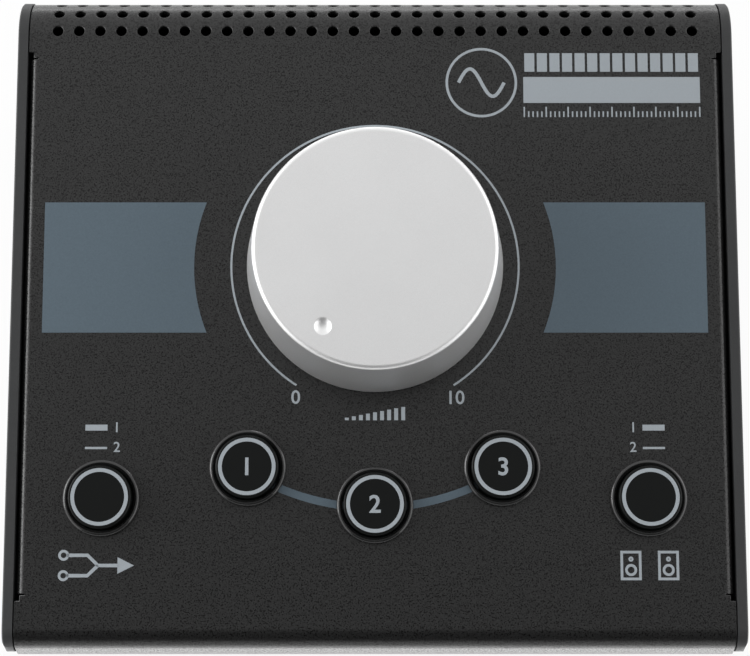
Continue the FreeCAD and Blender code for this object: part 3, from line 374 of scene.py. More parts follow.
def plain(name, colour, roughness, grain, depth, spread=0.1, **values):
    """A moulded, printed or plated surface with a faint grain."""
    finish = Finish(name, colour, roughness, **values)
    texture = finish.noise(grain, 3, 0.6)
    finish.shade(finish.spread(texture, 1 - spread, 1 + spread))
    finish.drive("Roughness", finish.spread(texture, roughness * 0.85, roughness * 1.15))
    finish.bump(texture, depth, 0.6)
    return finish.material


MATERIALS = {
    "housing_paint": powder_coat(),
    "cheek_paint": satin_charcoal(),
    "knob_aluminium": blasted_aluminium(),
    "button_plastic": plain("matte_button", (0.0032, 0.004, 0.0038), 0.35, 0.12, 0.002,
                            Specular_IOR_Level=0.2),
    "bezel_plastic": plain("gloss_bezel", (0.018, 0.0185, 0.0185), 0.16, 0.6, 0.002,
                           Coat_Weight=0.5, Coat_Roughness=0.08),
    "foot_rubber": plain("foot_rubber", (0.018, 0.018, 0.018), 0.85, 0.3, 0.03),
    "black_screw": plain("black_oxide", (0.03, 0.03, 0.032), 0.38, 0.2, 0.004, Metallic=0.6),
    "nickel": plain("nickel", (0.62, 0.6, 0.57), 0.24, 0.5, 0.002, 0.04, Metallic=1.0),
    "socket_plastic": plain("socket_nylon", (0.018, 0.018, 0.019), 0.5, 0.25, 0.01),
    "board_laminate": plain("solder_mask", (0.01, 0.09, 0.035), 0.35, 1.2, 0.01),
    "zinc_steel": plain("zinc_plate", (0.5, 0.5, 0.52), 0.34, 0.4, 0.004, Metallic=1.0),
    "shaft_aluminium": plain("turned_aluminium", (0.62, 0.62, 0.63), 0.3, 0.3, 0.003,
                             Metallic=1.0),
    "ribbon_sleeve": plain("grey_vinyl", (0.3, 0.3, 0.31), 0.55, 0.5, 0.01),
    "inner_plastic": plain("moulded_black", (0.03, 0.03, 0.031), 0.5, 0.3, 0.01),
}
LIGHT_PRINT = plain("light_print", (0.335, 0.37, 0.4), 0.55, 0.3, 0.004, 0.05)
BLUE_PRINT = plain("blue_print", (0.083, 0.118, 0.147), 0.5, 0.45, 0.012, 0.1)


# ---- top cover

SHEET = 1.2
NOSE_RADIUS = 5.5
TOP_RADIUS = 11.6
LIP_LENGTH = 10.0
LIP_BEND = 1.8
COVER_OVERLAP = 8.0
COVER_RIM = 0.3
SLOT_GAP = 0.5
FLANGE_BEND = 2.4
FLANGE_DEPTH = 8.0
SLOT_FRONT = 7.4
SLOT_REAR = 5.3
NOTCH = 1.7
NOTCH_WIDTH = 1.6
SLIT = 0.2
VENT_COLUMNS = 31
VENT_ROWS = 4
VENT_MARGIN = 8.15
VENT_START = 0.96
LIP_SCREW_BACK = 6.0
LIP_SCREW_SIDE = 34.0
REAR_SCREW_SIDE = 16.0
BEND_STEP = math.radians(3.5)
FLANGE_STEPS = 8
SLOPE_STRETCH = 4
COVER_MERGE = 1e-4
TINY = 1e-6

# Holes: the radius and the number of sides.
POT_HOLE = (4.6, 48)
BEZEL_HOLE = (9.25, 72)
VENT_HOLE = (1.45, 28)
SCREW_HOLE = (1.6, 24)

INNER_HALF = node_box("right_cheek")[0].x
BUTTONS = {}
for button in ("source_select", "mono", "mute", "dim", "monitor_select"):
    middle = PANEL.inverted() @ (sum(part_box(f"{button}_cap"), Vector()) / 2) / MM
    BUTTONS[button] = (middle.x, middle.y)


class Cover:
    """The cover's blank, its bends and the way from one to the other."""

    def __init__(self):
        low, high = node_box("top_cover")
        foot = KNOB_FOOT / MM

        def crest(y):
            return foot.z + (y - foot.y) * math.tan(SLOPE)

        rear_low = node_box("rear_panel")[1].z - COVER_OVERLAP
        self.path = outline([
            (low.y + LIP_LENGTH, low.z), (low.y, low.z, LIP_BEND),
            (low.y, crest(low.y), NOSE_RADIUS), (high.y, crest(high.y), TOP_RADIUS),
            (high.y, rear_low),
        ], closed=False)
        self.starts = [sum(stretch.length for stretch in self.path[:index])
                       for index in range(len(self.path) + 1)]
        self.half = high.x
        self.notch = INNER_HALF - NOTCH_WIDTH
        self.flange = INNER_HALF - SLOT_GAP - FLANGE_BEND
        self.flange_end = self.flange + FLANGE_BEND * (math.pi / 2 - 1) + FLANGE_DEPTH
        start, self.bend_start = self.starts[SLOPE_STRETCH:SLOPE_STRETCH + 2]
        self.slot = (start + SLOT_FRONT, self.bend_start - SLOT_REAR)
        self.knob_at = start + (foot.y - self.path[SLOPE_STRETCH].start.x) / math.cos(SLOPE)

    def blank(self):
        """The flat blank's outline, counterclockwise in (across, along)."""
        front, rear = self.slot
        near, far = front + NOTCH, rear - NOTCH
        right = [(self.half, 0), (self.half, front), (self.notch, front),
                 (self.notch, near - SLIT), (self.flange, near - SLIT), (self.flange, near),
                 (self.flange_end, near), (self.flange_end, far), (self.flange, far),
                 (self.flange, far + SLIT), (self.notch, far + SLIT), (self.notch, rear),
                 (self.half, rear), (self.half, self.starts[-1])]
        return right + [(-across, along) for across, along in reversed(right)]

    def holes(self):
        """(across, along, radius, sides) of every hole in the blank."""
        found = [(0, self.knob_at, *POT_HOLE)]
        found += [(u, self.knob_at + v, *BEZEL_HOLE) for u, v in BUTTONS.values()]
        pitch = 2 * (INNER_HALF - VENT_MARGIN) / (VENT_COLUMNS - 1)
        for row in range(VENT_ROWS):
            along = self.bend_start + VENT_START + row * pitch
            found += [(VENT_MARGIN - INNER_HALF + column * pitch, along, *VENT_HOLE)
                      for column in range(VENT_COLUMNS)]
        for place in (-1, 0, 1):
            for side, along in ((LIP_SCREW_SIDE, LIP_LENGTH - LIP_SCREW_BACK),
                                (REAR_SCREW_SIDE, self.starts[-1] - COVER_OVERLAP / 2)):
                found.append((place * (INNER_HALF - side), along, *SCREW_HOLE))
        return found

    def contains(self, across, along):
        limit = self.half
        for spare, half in ((0, self.notch), (NOTCH - SLIT, self.flange),
                            (NOTCH, self.flange_end)):
            if self.slot[0] + spare < along < self.slot[1] - spare:
                limit = half
        return abs(across) < limit

    def bent(self, across, along, sink):
        """(point, normal, across direction, along direction) of a point of the bent sheet."""
        index = max(number for number in range(len(self.path))
                    if self.starts[number] <= along + TINY)
        point, heading = self.path[index].at(along - self.starts[index])
        normal = Vector((0, -math.sin(heading), math.cos(heading)))
        forward = Vector((0, math.cos(heading), math.sin(heading)))
        place = Vector((across, point.x, point.y))
        side = Vector((1, 0, 0))
        over = abs(across) - self.flange
        spare = NOTCH - SLIT / 2
        if over > TINY and self.slot[0] + spare < along < self.slot[1] - spare:
            hand = math.copysign(1, across)
            angle = min(over / FLANGE_BEND, math.pi / 2)
            straight = over - angle * FLANGE_BEND
            place.x = hand * (self.flange + FLANGE_BEND * math.sin(angle))
            place -= normal * (FLANGE_BEND * (1 - math.cos(angle)) + straight)
            normal, side = (normal * math.cos(angle) + side * hand * math.sin(angle),
                            side * math.cos(angle) - normal * hand * math.sin(angle))
        return place - normal * sink, normal, side, forward


def inset(loop, distance):
    """A loop of square corners moved inwards."""
    moved = []
    for index, corner in enumerate(loop):
        before = (Vector(corner) - Vector(loop[index - 1])).normalized()
        after = (Vector(loop[(index + 1) % len(loop)]) - Vector(corner)).normalized()
        shift = Vector((-before.y - after.y, before.x + after.x))
        moved.append((corner[0] + shift.x * distance, corner[1] + shift.y * distance))
    return moved


class Edges:
    """How far a point of the blank is from its nearest edge, and which way that lies."""

    def __init__(self, loop, holes):
        self.starts = np.array(loop)
        ways = np.roll(self.starts, -1, axis=0) - self.starts
        self.lengths = np.linalg.norm(ways, axis=1)
        self.ways = ways / self.lengths[:, None]
        self.centres = np.array([hole[:2] for hole in holes])
        self.radii = np.array([hole[2] for hole in holes])

    def nearest(self, point):
        """(distance, direction off the sheet, whether the edge is a hole's)."""
        point = np.array(point)
        from_start = point - self.starts
        along = np.clip((from_start * self.ways).sum(axis=1), 0, self.lengths)
        gaps = np.linalg.norm(from_start - self.ways * along[:, None], axis=1)
        to_centre = self.centres - point
        spans = np.linalg.norm(to_centre, axis=1)
        outside = spans - self.radii
        side, hole = gaps.argmin(), outside.argmin()
        if outside[hole] < gaps[side]:
            return max(0.0, outside[hole]), Vector(to_centre[hole] / spans[hole]), True
        way = self.ways[side]
        return gaps[side], Vector((way[1], -way[0])), False


def make_cover():
    """Cut the blank, then bend it, with a small round at every outer edge."""
    cover = Cover()
    loop, holes = cover.blank(), cover.holes()
    edges_of = Edges(loop, holes)
    points, edges = [], []

    def add_line(corners, closed=True):
        first, count = len(points), len(corners)
        points.extend(Vector(corner) for corner in corners)
        edges.extend((first + index, first + (index + 1) % count)
                     for index in range(count if closed else count - 1))

    for step in (0.0, COVER_RIM * (1 - math.sqrt(0.5)), COVER_RIM):
        add_line(inset(loop, step))
        for across, along, radius, sides in holes:
            ring = ring_of(radius + step, 0, sides)
            add_line([(across + x, along + y) for x, y, _ in ring])
    for stretch, start in zip(cover.path, cover.starts):
        stops = len(stretch.stops(BEND_STEP)) if stretch.curve else 0
        for index in range(stops):
            along = start + stretch.length * index / (stops - 1)
            add_line([(-cover.half, along), (cover.half, along)], closed=False)
    for index in range(FLANGE_STEPS + 1):
        across = cover.flange + FLANGE_BEND * math.pi / 2 * index / FLANGE_STEPS
        for side in (-1, 1):
            add_line([(side * across, cover.slot[0] + NOTCH),
                      (side * across, cover.slot[1] - NOTCH)], closed=False)

    flat_points, _, triangles, *_ = delaunay_2d_cdt(points, edges, [], 0, COVER_MERGE, False)
    inside_holes = edges_of.radii * [math.cos(math.pi / sides) for *_, sides in holes]

    def is_metal(corners):
        middle = sum((flat_points[corner] for corner in corners), Vector((0, 0))) / 3
        spans = np.linalg.norm(edges_of.centres - np.array(middle), axis=1)
        return cover.contains(*middle) and (spans > inside_holes).all()

    triangles = [list(corners) for corners in triangles if is_metal(corners)]
    surface = Surface()
    outer, inner, out, into, frames = {}, {}, {}, {}, {}
    for corner in sorted({corner for corners in triangles for corner in corners}):
        across, along = flat_points[corner]
        gap, off, at_hole = edges_of.nearest((across, along))
        tilt = max(0.0, 1 - gap / COVER_RIM)
        level = math.sqrt(1 - tilt * tilt)
        place, normal, side, forward = cover.bent(across, along, COVER_RIM * (1 - level))
        outer[corner] = surface.add_points([place])[0]
        inner[corner] = surface.add_points([cover.bent(across, along, SHEET)[0]])[0]
        away = side * off.x + forward * off.y
        out[corner] = (normal * level + away * tilt).normalized()
        into[corner] = -normal
        frames[corner] = (away, side, forward, at_hole)
    directed = set()
    for a, b, c in triangles:
        surface.add_face([outer[a], outer[b], outer[c]], [out[a], out[b], out[c]])
        surface.add_face([inner[c], inner[b], inner[a]], [into[c], into[b], into[a]])
        directed.update(((a, b), (b, c), (c, a)))
    for a, b in sorted(directed):
        if (b, a) in directed:
            continue
        way = (flat_points[b] - flat_points[a]).normalized()
        walls = []
        for corner in (a, b):
            away, side, forward, at_hole = frames[corner]
            walls.append(away if at_hole else side * way.y - forward * way.x)
        surface.add_face([outer[a], inner[a], inner[b], outer[b]],
                         [walls[0], walls[0], walls[1], walls[1]])
    add_piece("top_cover_sheet", surface, "chassis", "housing_paint", IN_ROW, ["top_cover"])


# ---- volume knob

KNOB_SEGMENTS = 256
KNOB_STEP = math.radians(6)
KNOB_MERGE = 1e-5
KNOB_TOP_RADIUS = 32.2
KNOB_BASE_RADIUS = 34.9
KNOB_HEIGHT = 26.2
KNOB_GAP = 0.6
KNOB_EDGE = 1.3
KNOB_FOOT_EDGE = 0.35
KNOB_WALL = 2.6
KNOB_PLATE = 3.4
KNOB_CORNER = 0.8
KNOB_TOP_RING = 3 * KNOB_EDGE
DIMPLE_RADIUS = 2.25
DIMPLE_DEPTH = 0.75
DIMPLE_REACH = 24.9
DIMPLE_ANGLE = math.radians(32.8)
DIMPLE_LIP = 0.18
DIMPLE_SEGMENTS = 48
DIMPLE_LIP_STEPS = (1, 0.5, 0, -0.5, -1)
DIMPLE_SHARES = (0.84, 0.68, 0.52, 0.36, 0.18)


def dimple_level(distance):
    """Height under the knob's top, and slope, at a distance from the dimple's middle."""
    ball = (DIMPLE_RADIUS ** 2 + DIMPLE_DEPTH ** 2) / (2 * DIMPLE_DEPTH)
    if distance >= DIMPLE_RADIUS + DIMPLE_LIP:
        return 0.0, 0.0
    if distance > DIMPLE_RADIUS - DIMPLE_LIP:
        steepest = DIMPLE_RADIUS / math.sqrt(ball ** 2 - DIMPLE_RADIUS ** 2)
        reach = DIMPLE_RADIUS + DIMPLE_LIP - distance
        return steepest * reach ** 2 / (4 * DIMPLE_LIP), steepest * reach / (2 * DIMPLE_LIP)
    hollow = math.sqrt(ball ** 2 - distance ** 2)
    return DIMPLE_DEPTH - ball + hollow, distance / hollow


def make_knob():
    """The hollow knob, turned up to the ring where its flat top with the dimple begins."""
    ceiling = KNOB_HEIGHT - KNOB_PLATE
    profile = outline([
        (0, ceiling), (KNOB_TOP_RADIUS - KNOB_WALL, ceiling, KNOB_CORNER),
        (KNOB_BASE_RADIUS - KNOB_WALL, KNOB_GAP), (KNOB_BASE_RADIUS, KNOB_GAP, KNOB_FOOT_EDGE),
        (KNOB_TOP_RADIUS, KNOB_HEIGHT, KNOB_EDGE), (KNOB_TOP_RADIUS - KNOB_TOP_RING, KNOB_HEIGHT),
    ], closed=False)
    knob = turned(profile, KNOB_SEGMENTS, KNOB_STEP)

    middle = Vector((-DIMPLE_REACH * math.sin(DIMPLE_ANGLE),
                     -DIMPLE_REACH * math.cos(DIMPLE_ANGLE)))
    rim = knob.last_ring
    points = [knob.points[corner].xy for corner in rim]
    edges = [(index, (index + 1) % len(rim)) for index in range(len(rim))]
    radii = [DIMPLE_RADIUS + DIMPLE_LIP * step for step in DIMPLE_LIP_STEPS]
    radii += [radii[-1] * share for share in DIMPLE_SHARES]
    for radius in radii:
        first = len(points)
        points += [Vector((x, y)) + middle for x, y, _ in ring_of(radius, 0, DIMPLE_SEGMENTS)]
        edges += [(first + index, first + (index + 1) % DIMPLE_SEGMENTS)
                  for index in range(DIMPLE_SEGMENTS)]
    points.append(middle)
    flat, _, faces, sources, *_ = delaunay_2d_cdt(points, edges, [], 0, KNOB_MERGE, True)
    corners, normals = {}, {}
    for index, point in enumerate(flat):
        distance = (point - middle).length
        depth, steepness = dimple_level(distance)
        outward = (point - middle) / max(distance, TINY)
        normals[index] = Vector((*(outward * -steepness), 1)).normalized()
        on_rim = [source for source in sources[index] if source < len(rim)]
        if on_rim:
            corners[index] = rim[on_rim[0]]
        else:
            corners[index] = knob.add_points([(point.x, point.y, KNOB_HEIGHT - depth)])[0]
    for face in faces:
        knob.add_face([corners[corner] for corner in face], [normals[corner] for corner in face])
    add_piece("knob_shell", knob, "volume_dial", "knob_aluminium", ON_PANEL, ["volume_knob"])


# ---- push buttons

CAP_RADIUS = 8.4
CAP_HEIGHT = 5.0
CAP_ROUND = 0.5
CAP_WALL = 1.2
CAP_PLATE = 1.8
CAP_SKIRT = 2.5
CAP_BOSS = 3.2
CAP_BOSS_DEPTH = 1.0
CAP_CLEAR = 0.3
BEZEL_RADIUS = 10.3
BEZEL_HEIGHT = 1.8
BEZEL_ROUND = 0.8
BEZEL_RIM = 0.9
BEZEL_DISH = 0.7
BEZEL_BREAK = 0.2
BEZEL_LIP = 0.4
BEZEL_SLEEVE = 9.15
BEZEL_DEPTH = 4.2
BUTTON_SEGMENTS = 128


def make_button(name, u, v):
    """A dished bezel, and a hollow cap with a boss, both turned."""
    inner = CAP_RADIUS + CAP_CLEAR
    bezel = turned(outline([
        (inner, -BEZEL_DEPTH), (BEZEL_SLEEVE, -BEZEL_DEPTH), (BEZEL_SLEEVE, 0),
        (BEZEL_RADIUS, 0), (BEZEL_RADIUS, BEZEL_HEIGHT, BEZEL_ROUND),
        (BEZEL_RADIUS - BEZEL_RIM, BEZEL_HEIGHT, BEZEL_BREAK),
        (inner, BEZEL_HEIGHT - BEZEL_DISH, BEZEL_LIP),
    ]), BUTTON_SEGMENTS)
    add_piece(f"{name}_ring", bezel, "chassis", "bezel_plastic", on_panel(u, v),
              [f"{name}_bezel"])
    ceiling = CAP_HEIGHT - CAP_PLATE
    cap = turned(outline([
        (0, -CAP_BOSS_DEPTH), (CAP_BOSS, -CAP_BOSS_DEPTH), (CAP_BOSS, ceiling),
        (CAP_RADIUS - CAP_WALL, ceiling), (CAP_RADIUS - CAP_WALL, -CAP_SKIRT),
        (CAP_RADIUS, -CAP_SKIRT), (CAP_RADIUS, CAP_HEIGHT, CAP_ROUND), (0, CAP_HEIGHT),
    ], closed=False), BUTTON_SEGMENTS)
    add_piece(f"{name}_button_top", cap, f"{name}_button", "button_plastic", on_panel(u, v),
              [f"{name}_cap"])


# ---- printing

PRINT_THICK = 0.03
PRINT_SINK = 0.02
LINE_WIDTH = 0.95
FIGURE_SHARE = 0.7

# Rings: the radius halfway across the line, the line's width and the number of sides.
RING_WIDTH = 0.7
CAP_RING = (7.15, 1.0, 128)
WAVE_RING = (9.55, RING_WIDTH, 128)
INPUT_RING = (1.1, RING_WIDTH, 40)
WOOFER_RING = (1.25, RING_WIDTH, 48)
TWEETER_RING = (0.42, 0.5, 32)

SWEEP_RADIUS = 65.9
SWEEP_WIDTH = 2.1
SWEEP_POINTS = 60
BLOCK_ARC = 49.3
BLOCK_OUTER = 90.35
BLOCK_LOW = -18.5
BLOCK_HIGH = 17.6
BLOCK_POINTS = 40
DIAL_RADIUS = 39.16
DIAL_WIDTH = 0.55
DIAL_REACH = 147.2
DIAL_POINTS = 160
BAR_COUNT = 9
BAR_WIDTH = 1.05
BAR_PITCH = 1.9
BAR_FOOT = -42.4
BAR_LOWEST = -41.7
BAR_HIGHEST = -38.8

# Figures: their height and added boldness; below, what they say and their middles.
CAP_FIGURE = (4.6, 0.12)
DIAL_FIGURE = (3.6, 0.06)
SELECTOR_FIGURE = (2.7, 0.03)
DIAL_FIGURES = {"dial_low": ("0", -21.4, -36.1), "dial_high": ("10", 22.1, -36.2)}
SELECTOR_FIGURES = {"first": ("1", 69.5, -44.3), "second": ("2", 69.4, -49.6)}

# Lines over the right outer button: left, low, right, high.
SELECTOR_LINES = ((72.0, -45.2, 77.95, -43.6), (72.0, -50.2, 77.95, -49.6))

# Signs below the outer buttons, measured from their middles.
SIGN_LEVEL = -81.3
INPUT_LINES = ([(-9.0, 2.7), (-3.4, 2.7), (-0.6, 0), (5.0, 0)],
               [(-9.0, -2.7), (-3.4, -2.7), (-0.6, 0)])
ARROW_HEAD = [(4.6, -2.2), (9.0, 0), (4.6, 2.2)]
INPUT_ENDS = ((-9.8, 2.7), (-9.8, -2.7))
SPEAKER_SPREAD = 5.0
SPEAKER_HALF = (2.8, 3.9)
SPEAKER_RINGS = {-1.2: WOOFER_RING, 1.7: TWEETER_RING}

WAVE_MIDDLE = (29.4, 51.5)
WAVE_HALF = 6.3
WAVE_RISE = 3.9
WAVE_STEPS = 48
CORNER_LEFT = 41.0
CORNER_RIGHT = 89.8
LADDER_BLOCKS = 14
LADDER_GAP = 0.7
LADDER_LEVELS = (54.6, 59.9)
CORNER_BAR_LEVELS = (45.7, 53.1)
SCALE_MARKS = 41
SCALE_WIDTH = 0.4
SCALE_FOOT = 41.7
SCALE_TOPS = (44.6, 43.3, 43.3, 43.3, 43.3)


def printed(shapes):
    """One surface of several prisms on counterclockwise outlines of (u, v) points."""
    surface = Surface()
    for loop in shapes:
        count = len(loop)
        bottom = surface.add_points([(u, v, -PRINT_SINK) for u, v in loop])
        top = surface.add_points([(u, v, PRINT_THICK) for u, v in loop])
        surface.add_face(bottom[::-1], [Vector((0, 0, -1))] * count)
        surface.add_face(top, [Vector((0, 0, 1))] * count)
        for index in range(count):
            after = (index + 1) % count
            surface.add_face([bottom[index], bottom[after], top[after], top[index]])
    return surface


def band(left, right, closed=False):
    """A printed strip between two rows of points, the second on the first one's left."""
    surface = Surface()
    count = len(left)
    rows = [surface.add_points([(*point[:2], level) for point in row])
            for row, level in ((left, -PRINT_SINK), (right, -PRINT_SINK),
                               (right, PRINT_THICK), (left, PRINT_THICK))]
    down, up = [Vector((0, 0, -1))] * 4, [Vector((0, 0, 1))] * 4
    for index in range(count if closed else count - 1):
        after = (index + 1) % count
        a, b, c, d = ((row[index], row[after]) for row in rows)
        surface.add_face([a[0], b[0], b[1], a[1]], down)
        surface.add_face([d[0], d[1], c[1], c[0]], up)
        surface.add_face([a[0], a[1], d[1], d[0]])
        surface.add_face([b[1], b[0], c[0], c[1]])
    if not closed:
        surface.add_face([row[0] for row in rows][::-1])
        surface.add_face([row[-1] for row in rows])
    return surface


def arc_band(radius, width, middle, reach, count):
    """A band round the knob that reaches so many degrees to both sides of an angle."""
    angles = [math.radians(middle + reach * (2 * index / (count - 1) - 1))
              for index in range(count)]
    inner, outer = ([(edge * math.cos(angle), edge * math.sin(angle)) for angle in angles]
                    for edge in (radius - width / 2, radius + width / 2))
    return band(outer, inner)


def ring_band(radius, width, sides):
    inner, outer = (ring_of(radius + side * width / 2, 0, sides) for side in (-1, 1))
    return band(outer, inner, closed=True)


def stroke(points):
    """A line of even width through points."""
    rows = ([], [])
    for index, point in enumerate(points):
        before = Vector(points[max(index - 1, 0)])
        after = Vector(points[min(index + 1, len(points) - 1)])
        way = (after - before).normalized() * LINE_WIDTH / 2
        for row, side in zip(rows, (-1, 1)):
            row.append((point[0] - way.y * side, point[1] + way.x * side))
    return band(*rows)


def print_slot(body):
    return "button_plastic" if body != "chassis" else "housing_paint"


def add_print(name, surface, body="chassis", material=LIGHT_PRINT, place=ON_PANEL):
    add_piece(name, surface, body, print_slot(body), place, material=material)


def add_number(name, text, style, u, v, h=0.0, body="chassis"):
    """Printed figures of a height and weight, centred on a point."""
    height, weight = style
    curve = bpy.data.curves.new(name, "FONT")
    curve.body = text
    curve.align_x = "CENTER"
    curve.align_y = "CENTER"
    curve.size = height / FIGURE_SHARE
    curve.offset = weight
    curve.extrude = (PRINT_THICK + PRINT_SINK) / 2
    curve.resolution_u = 8
    letters = bpy.data.objects.new(name + "_curve", curve)
    mesh = bpy.data.meshes.new_from_object(letters)
    bpy.data.objects.remove(letters)
    across = [vertex.co.x for vertex in mesh.vertices]
    along = [vertex.co.y for vertex in mesh.vertices]
    shift = Vector((-(min(across) + max(across)) / 2, -(min(along) + max(along)) / 2,
                    (PRINT_THICK - PRINT_SINK) / 2))
    mesh.transform(on_panel(u, v, h) @ Matrix.Translation(shift))
    place_mesh(name, mesh, LIGHT_PRINT, body)


def make_dial_print():
    """The line round the knob, its two end figures and the rising bars below it."""
    add_print("dial_line", arc_band(DIAL_RADIUS, DIAL_WIDTH, 90, DIAL_REACH, DIAL_POINTS))
    for name, (text, u, v) in DIAL_FIGURES.items():
        add_number(name, text, DIAL_FIGURE, u, v)
    bars = []
    for index in range(BAR_COUNT):
        left = (index - (BAR_COUNT - 1) / 2) * BAR_PITCH - BAR_WIDTH / 2
        top = BAR_LOWEST + (BAR_HIGHEST - BAR_LOWEST) * index / (BAR_COUNT - 1)
        bars.append(rectangle(left, BAR_FOOT, left + BAR_WIDTH, top))
    add_print("volume_bars", printed(bars))


def make_side_blocks():
    """The two blue-grey fields beside the knob, hollowed concentric with it."""
    step = (BLOCK_HIGH - BLOCK_LOW) / (BLOCK_POINTS - 1)
    levels = [BLOCK_LOW + step * index for index in range(BLOCK_POINTS)]
    for name, side in (("left_field", -1), ("right_field", 1)):
        curved = [(side * math.sqrt(BLOCK_ARC ** 2 - level ** 2), level) for level in levels]
        straight = [(side * BLOCK_OUTER, level) for level in levels]
        rows = (straight, curved) if side > 0 else (curved, straight)
        add_print(name, band(*rows), material=BLUE_PRINT)


def make_button_print():
    """The band that ties the middle buttons, the rings on all caps and the middle figures."""
    reach = math.degrees(math.asin(BUTTONS["dim"][0] / SWEEP_RADIUS))
    sweep = arc_band(SWEEP_RADIUS, SWEEP_WIDTH, -90, reach, SWEEP_POINTS)
    add_print("button_sweep", sweep, material=BLUE_PRINT)
    figures = {"mono": "1", "mute": "2", "dim": "3"}
    for name, (u, v) in BUTTONS.items():
        body = f"{name}_button"
        add_print(f"{name}_circle", ring_band(*CAP_RING), body, place=on_panel(u, v, CAP_HEIGHT))
        if name in figures:
            add_number(f"{name}_figure", figures[name], CAP_FIGURE, u, v, CAP_HEIGHT, body)


def make_selector_print():
    """A thick and a thin line over each outer button, with their figures."""
    for name, side in (("source", -1), ("monitor", 1)):
        lines = []
        for inner, low, outer, high in SELECTOR_LINES:
            left, right = sorted((side * inner, side * outer))
            lines.append(rectangle(left, low, right, high))
        add_print(f"{name}_lines", printed(lines))
        for place, (text, u, v) in SELECTOR_FIGURES.items():
            add_number(f"{name}_{place}", text, SELECTOR_FIGURE, side * u, v)


def make_source_sign():
    """Two inputs joining into one arrow."""
    sign = Surface()
    for line in INPUT_LINES:
        sign.join(stroke(line))
    sign.join(printed([ARROW_HEAD]))
    for u, v in INPUT_ENDS:
        sign.join(ring_band(*INPUT_RING), Matrix.Translation((u, v, 0)))
    add_print("source_sign", sign, place=on_panel(BUTTONS["source_select"][0], SIGN_LEVEL))


def make_monitor_sign():
    """Two loudspeakers."""
    u, v = SPEAKER_HALF
    speaker = band(*(rectangle(edge - u, edge - v, u - edge, v - edge)
                     for edge in (0, RING_WIDTH)), closed=True)
    for level, ring in SPEAKER_RINGS.items():
        speaker.join(ring_band(*ring), Matrix.Translation((0, level, 0)))
    sign = Surface()
    for side in (-1, 1):
        sign.join(speaker, Matrix.Translation((side * SPEAKER_SPREAD, 0, 0)))
    add_print("monitor_sign", sign, place=on_panel(BUTTONS["monitor_select"][0], SIGN_LEVEL))


def make_corner_print():
    """A wave in a ring, and a level ladder over a plain bar and a ruled scale."""
    shares = [index / WAVE_STEPS for index in range(WAVE_STEPS + 1)]
    sign = stroke([(WAVE_HALF * (2 * share - 1), WAVE_RISE * math.sin(math.tau * share))
                   for share in shares])
    sign.join(ring_band(*WAVE_RING))
    add_print("wave_sign", sign, place=on_panel(*WAVE_MIDDLE))
    low, high = LADDER_LEVELS
    pitch = (CORNER_RIGHT - CORNER_LEFT) / LADDER_BLOCKS
    starts = [CORNER_LEFT + index * pitch + LADDER_GAP / 2 for index in range(LADDER_BLOCKS)]
    add_print("level_ladder", printed([rectangle(start, low, start + pitch - LADDER_GAP, high)
                                       for start in starts]))
    low, high = CORNER_BAR_LEVELS
    add_print("corner_bar", printed([rectangle(CORNER_LEFT, low, CORNER_RIGHT, high)]))
    spacing = (CORNER_RIGHT - CORNER_LEFT - SCALE_WIDTH) / (SCALE_MARKS - 1)
    starts = [CORNER_LEFT + index * spacing for index in range(SCALE_MARKS)]
    add_print("corner_scale", printed([rectangle(start, SCALE_FOOT, start + SCALE_WIDTH, top)
                                       for start, top in zip(starts, cycle(SCALE_TOPS))]))


# ---- rear sockets

JACKS = 8
JACK_CREST = 4.6
JACK_ROOT = 4.22
JACK_BORE = 3.3
JACK_FLOOR = 2.0
JACK_BREAK = 0.35
JACK_SEGMENTS = 64
THREAD_PITCH = 0.75
THREAD_SINK = 1.0
THREAD_END = 0.6
THREAD_ROOT_AT = 0.45
THREAD_CREST_AT = 0.9
NUT_FLATS = 12.5
NUT_CHAMFER = math.radians(30)
NUT_FACE_SHARE = 0.985
NUT_SIDE_STEPS = 12


def box_with_hole(low, high, surface):
    """A block whose top face runs up to the first ring of a turned surface."""
    ring, segments = surface.first_ring, len(surface.first_ring)
    corners = rectangle(low.x, low.y, high.x, high.y)
    top = surface.add_points([(*corner, high.z) for corner in corners])
    bottom = surface.add_points([(*corner, low.z) for corner in corners])
    surface.add_face(bottom[::-1])
    for index in range(4):
        after = (index + 1) % 4
        surface.add_face([bottom[index], bottom[after], top[after], top[index]])
    quarter = segments // 4
    first = segments * 5 // 8  # the ring's point nearest the first corner
    for index in range(4):
        start = (first + index * quarter) % segments
        arc = [ring[(start + step) % segments] for step in range(quarter + 1)]
        for a, b in zip(arc, arc[1:]):
            surface.add_face([top[index], b, a])
        surface.add_face([top[index], top[(index + 1) % 4], arc[-1]])


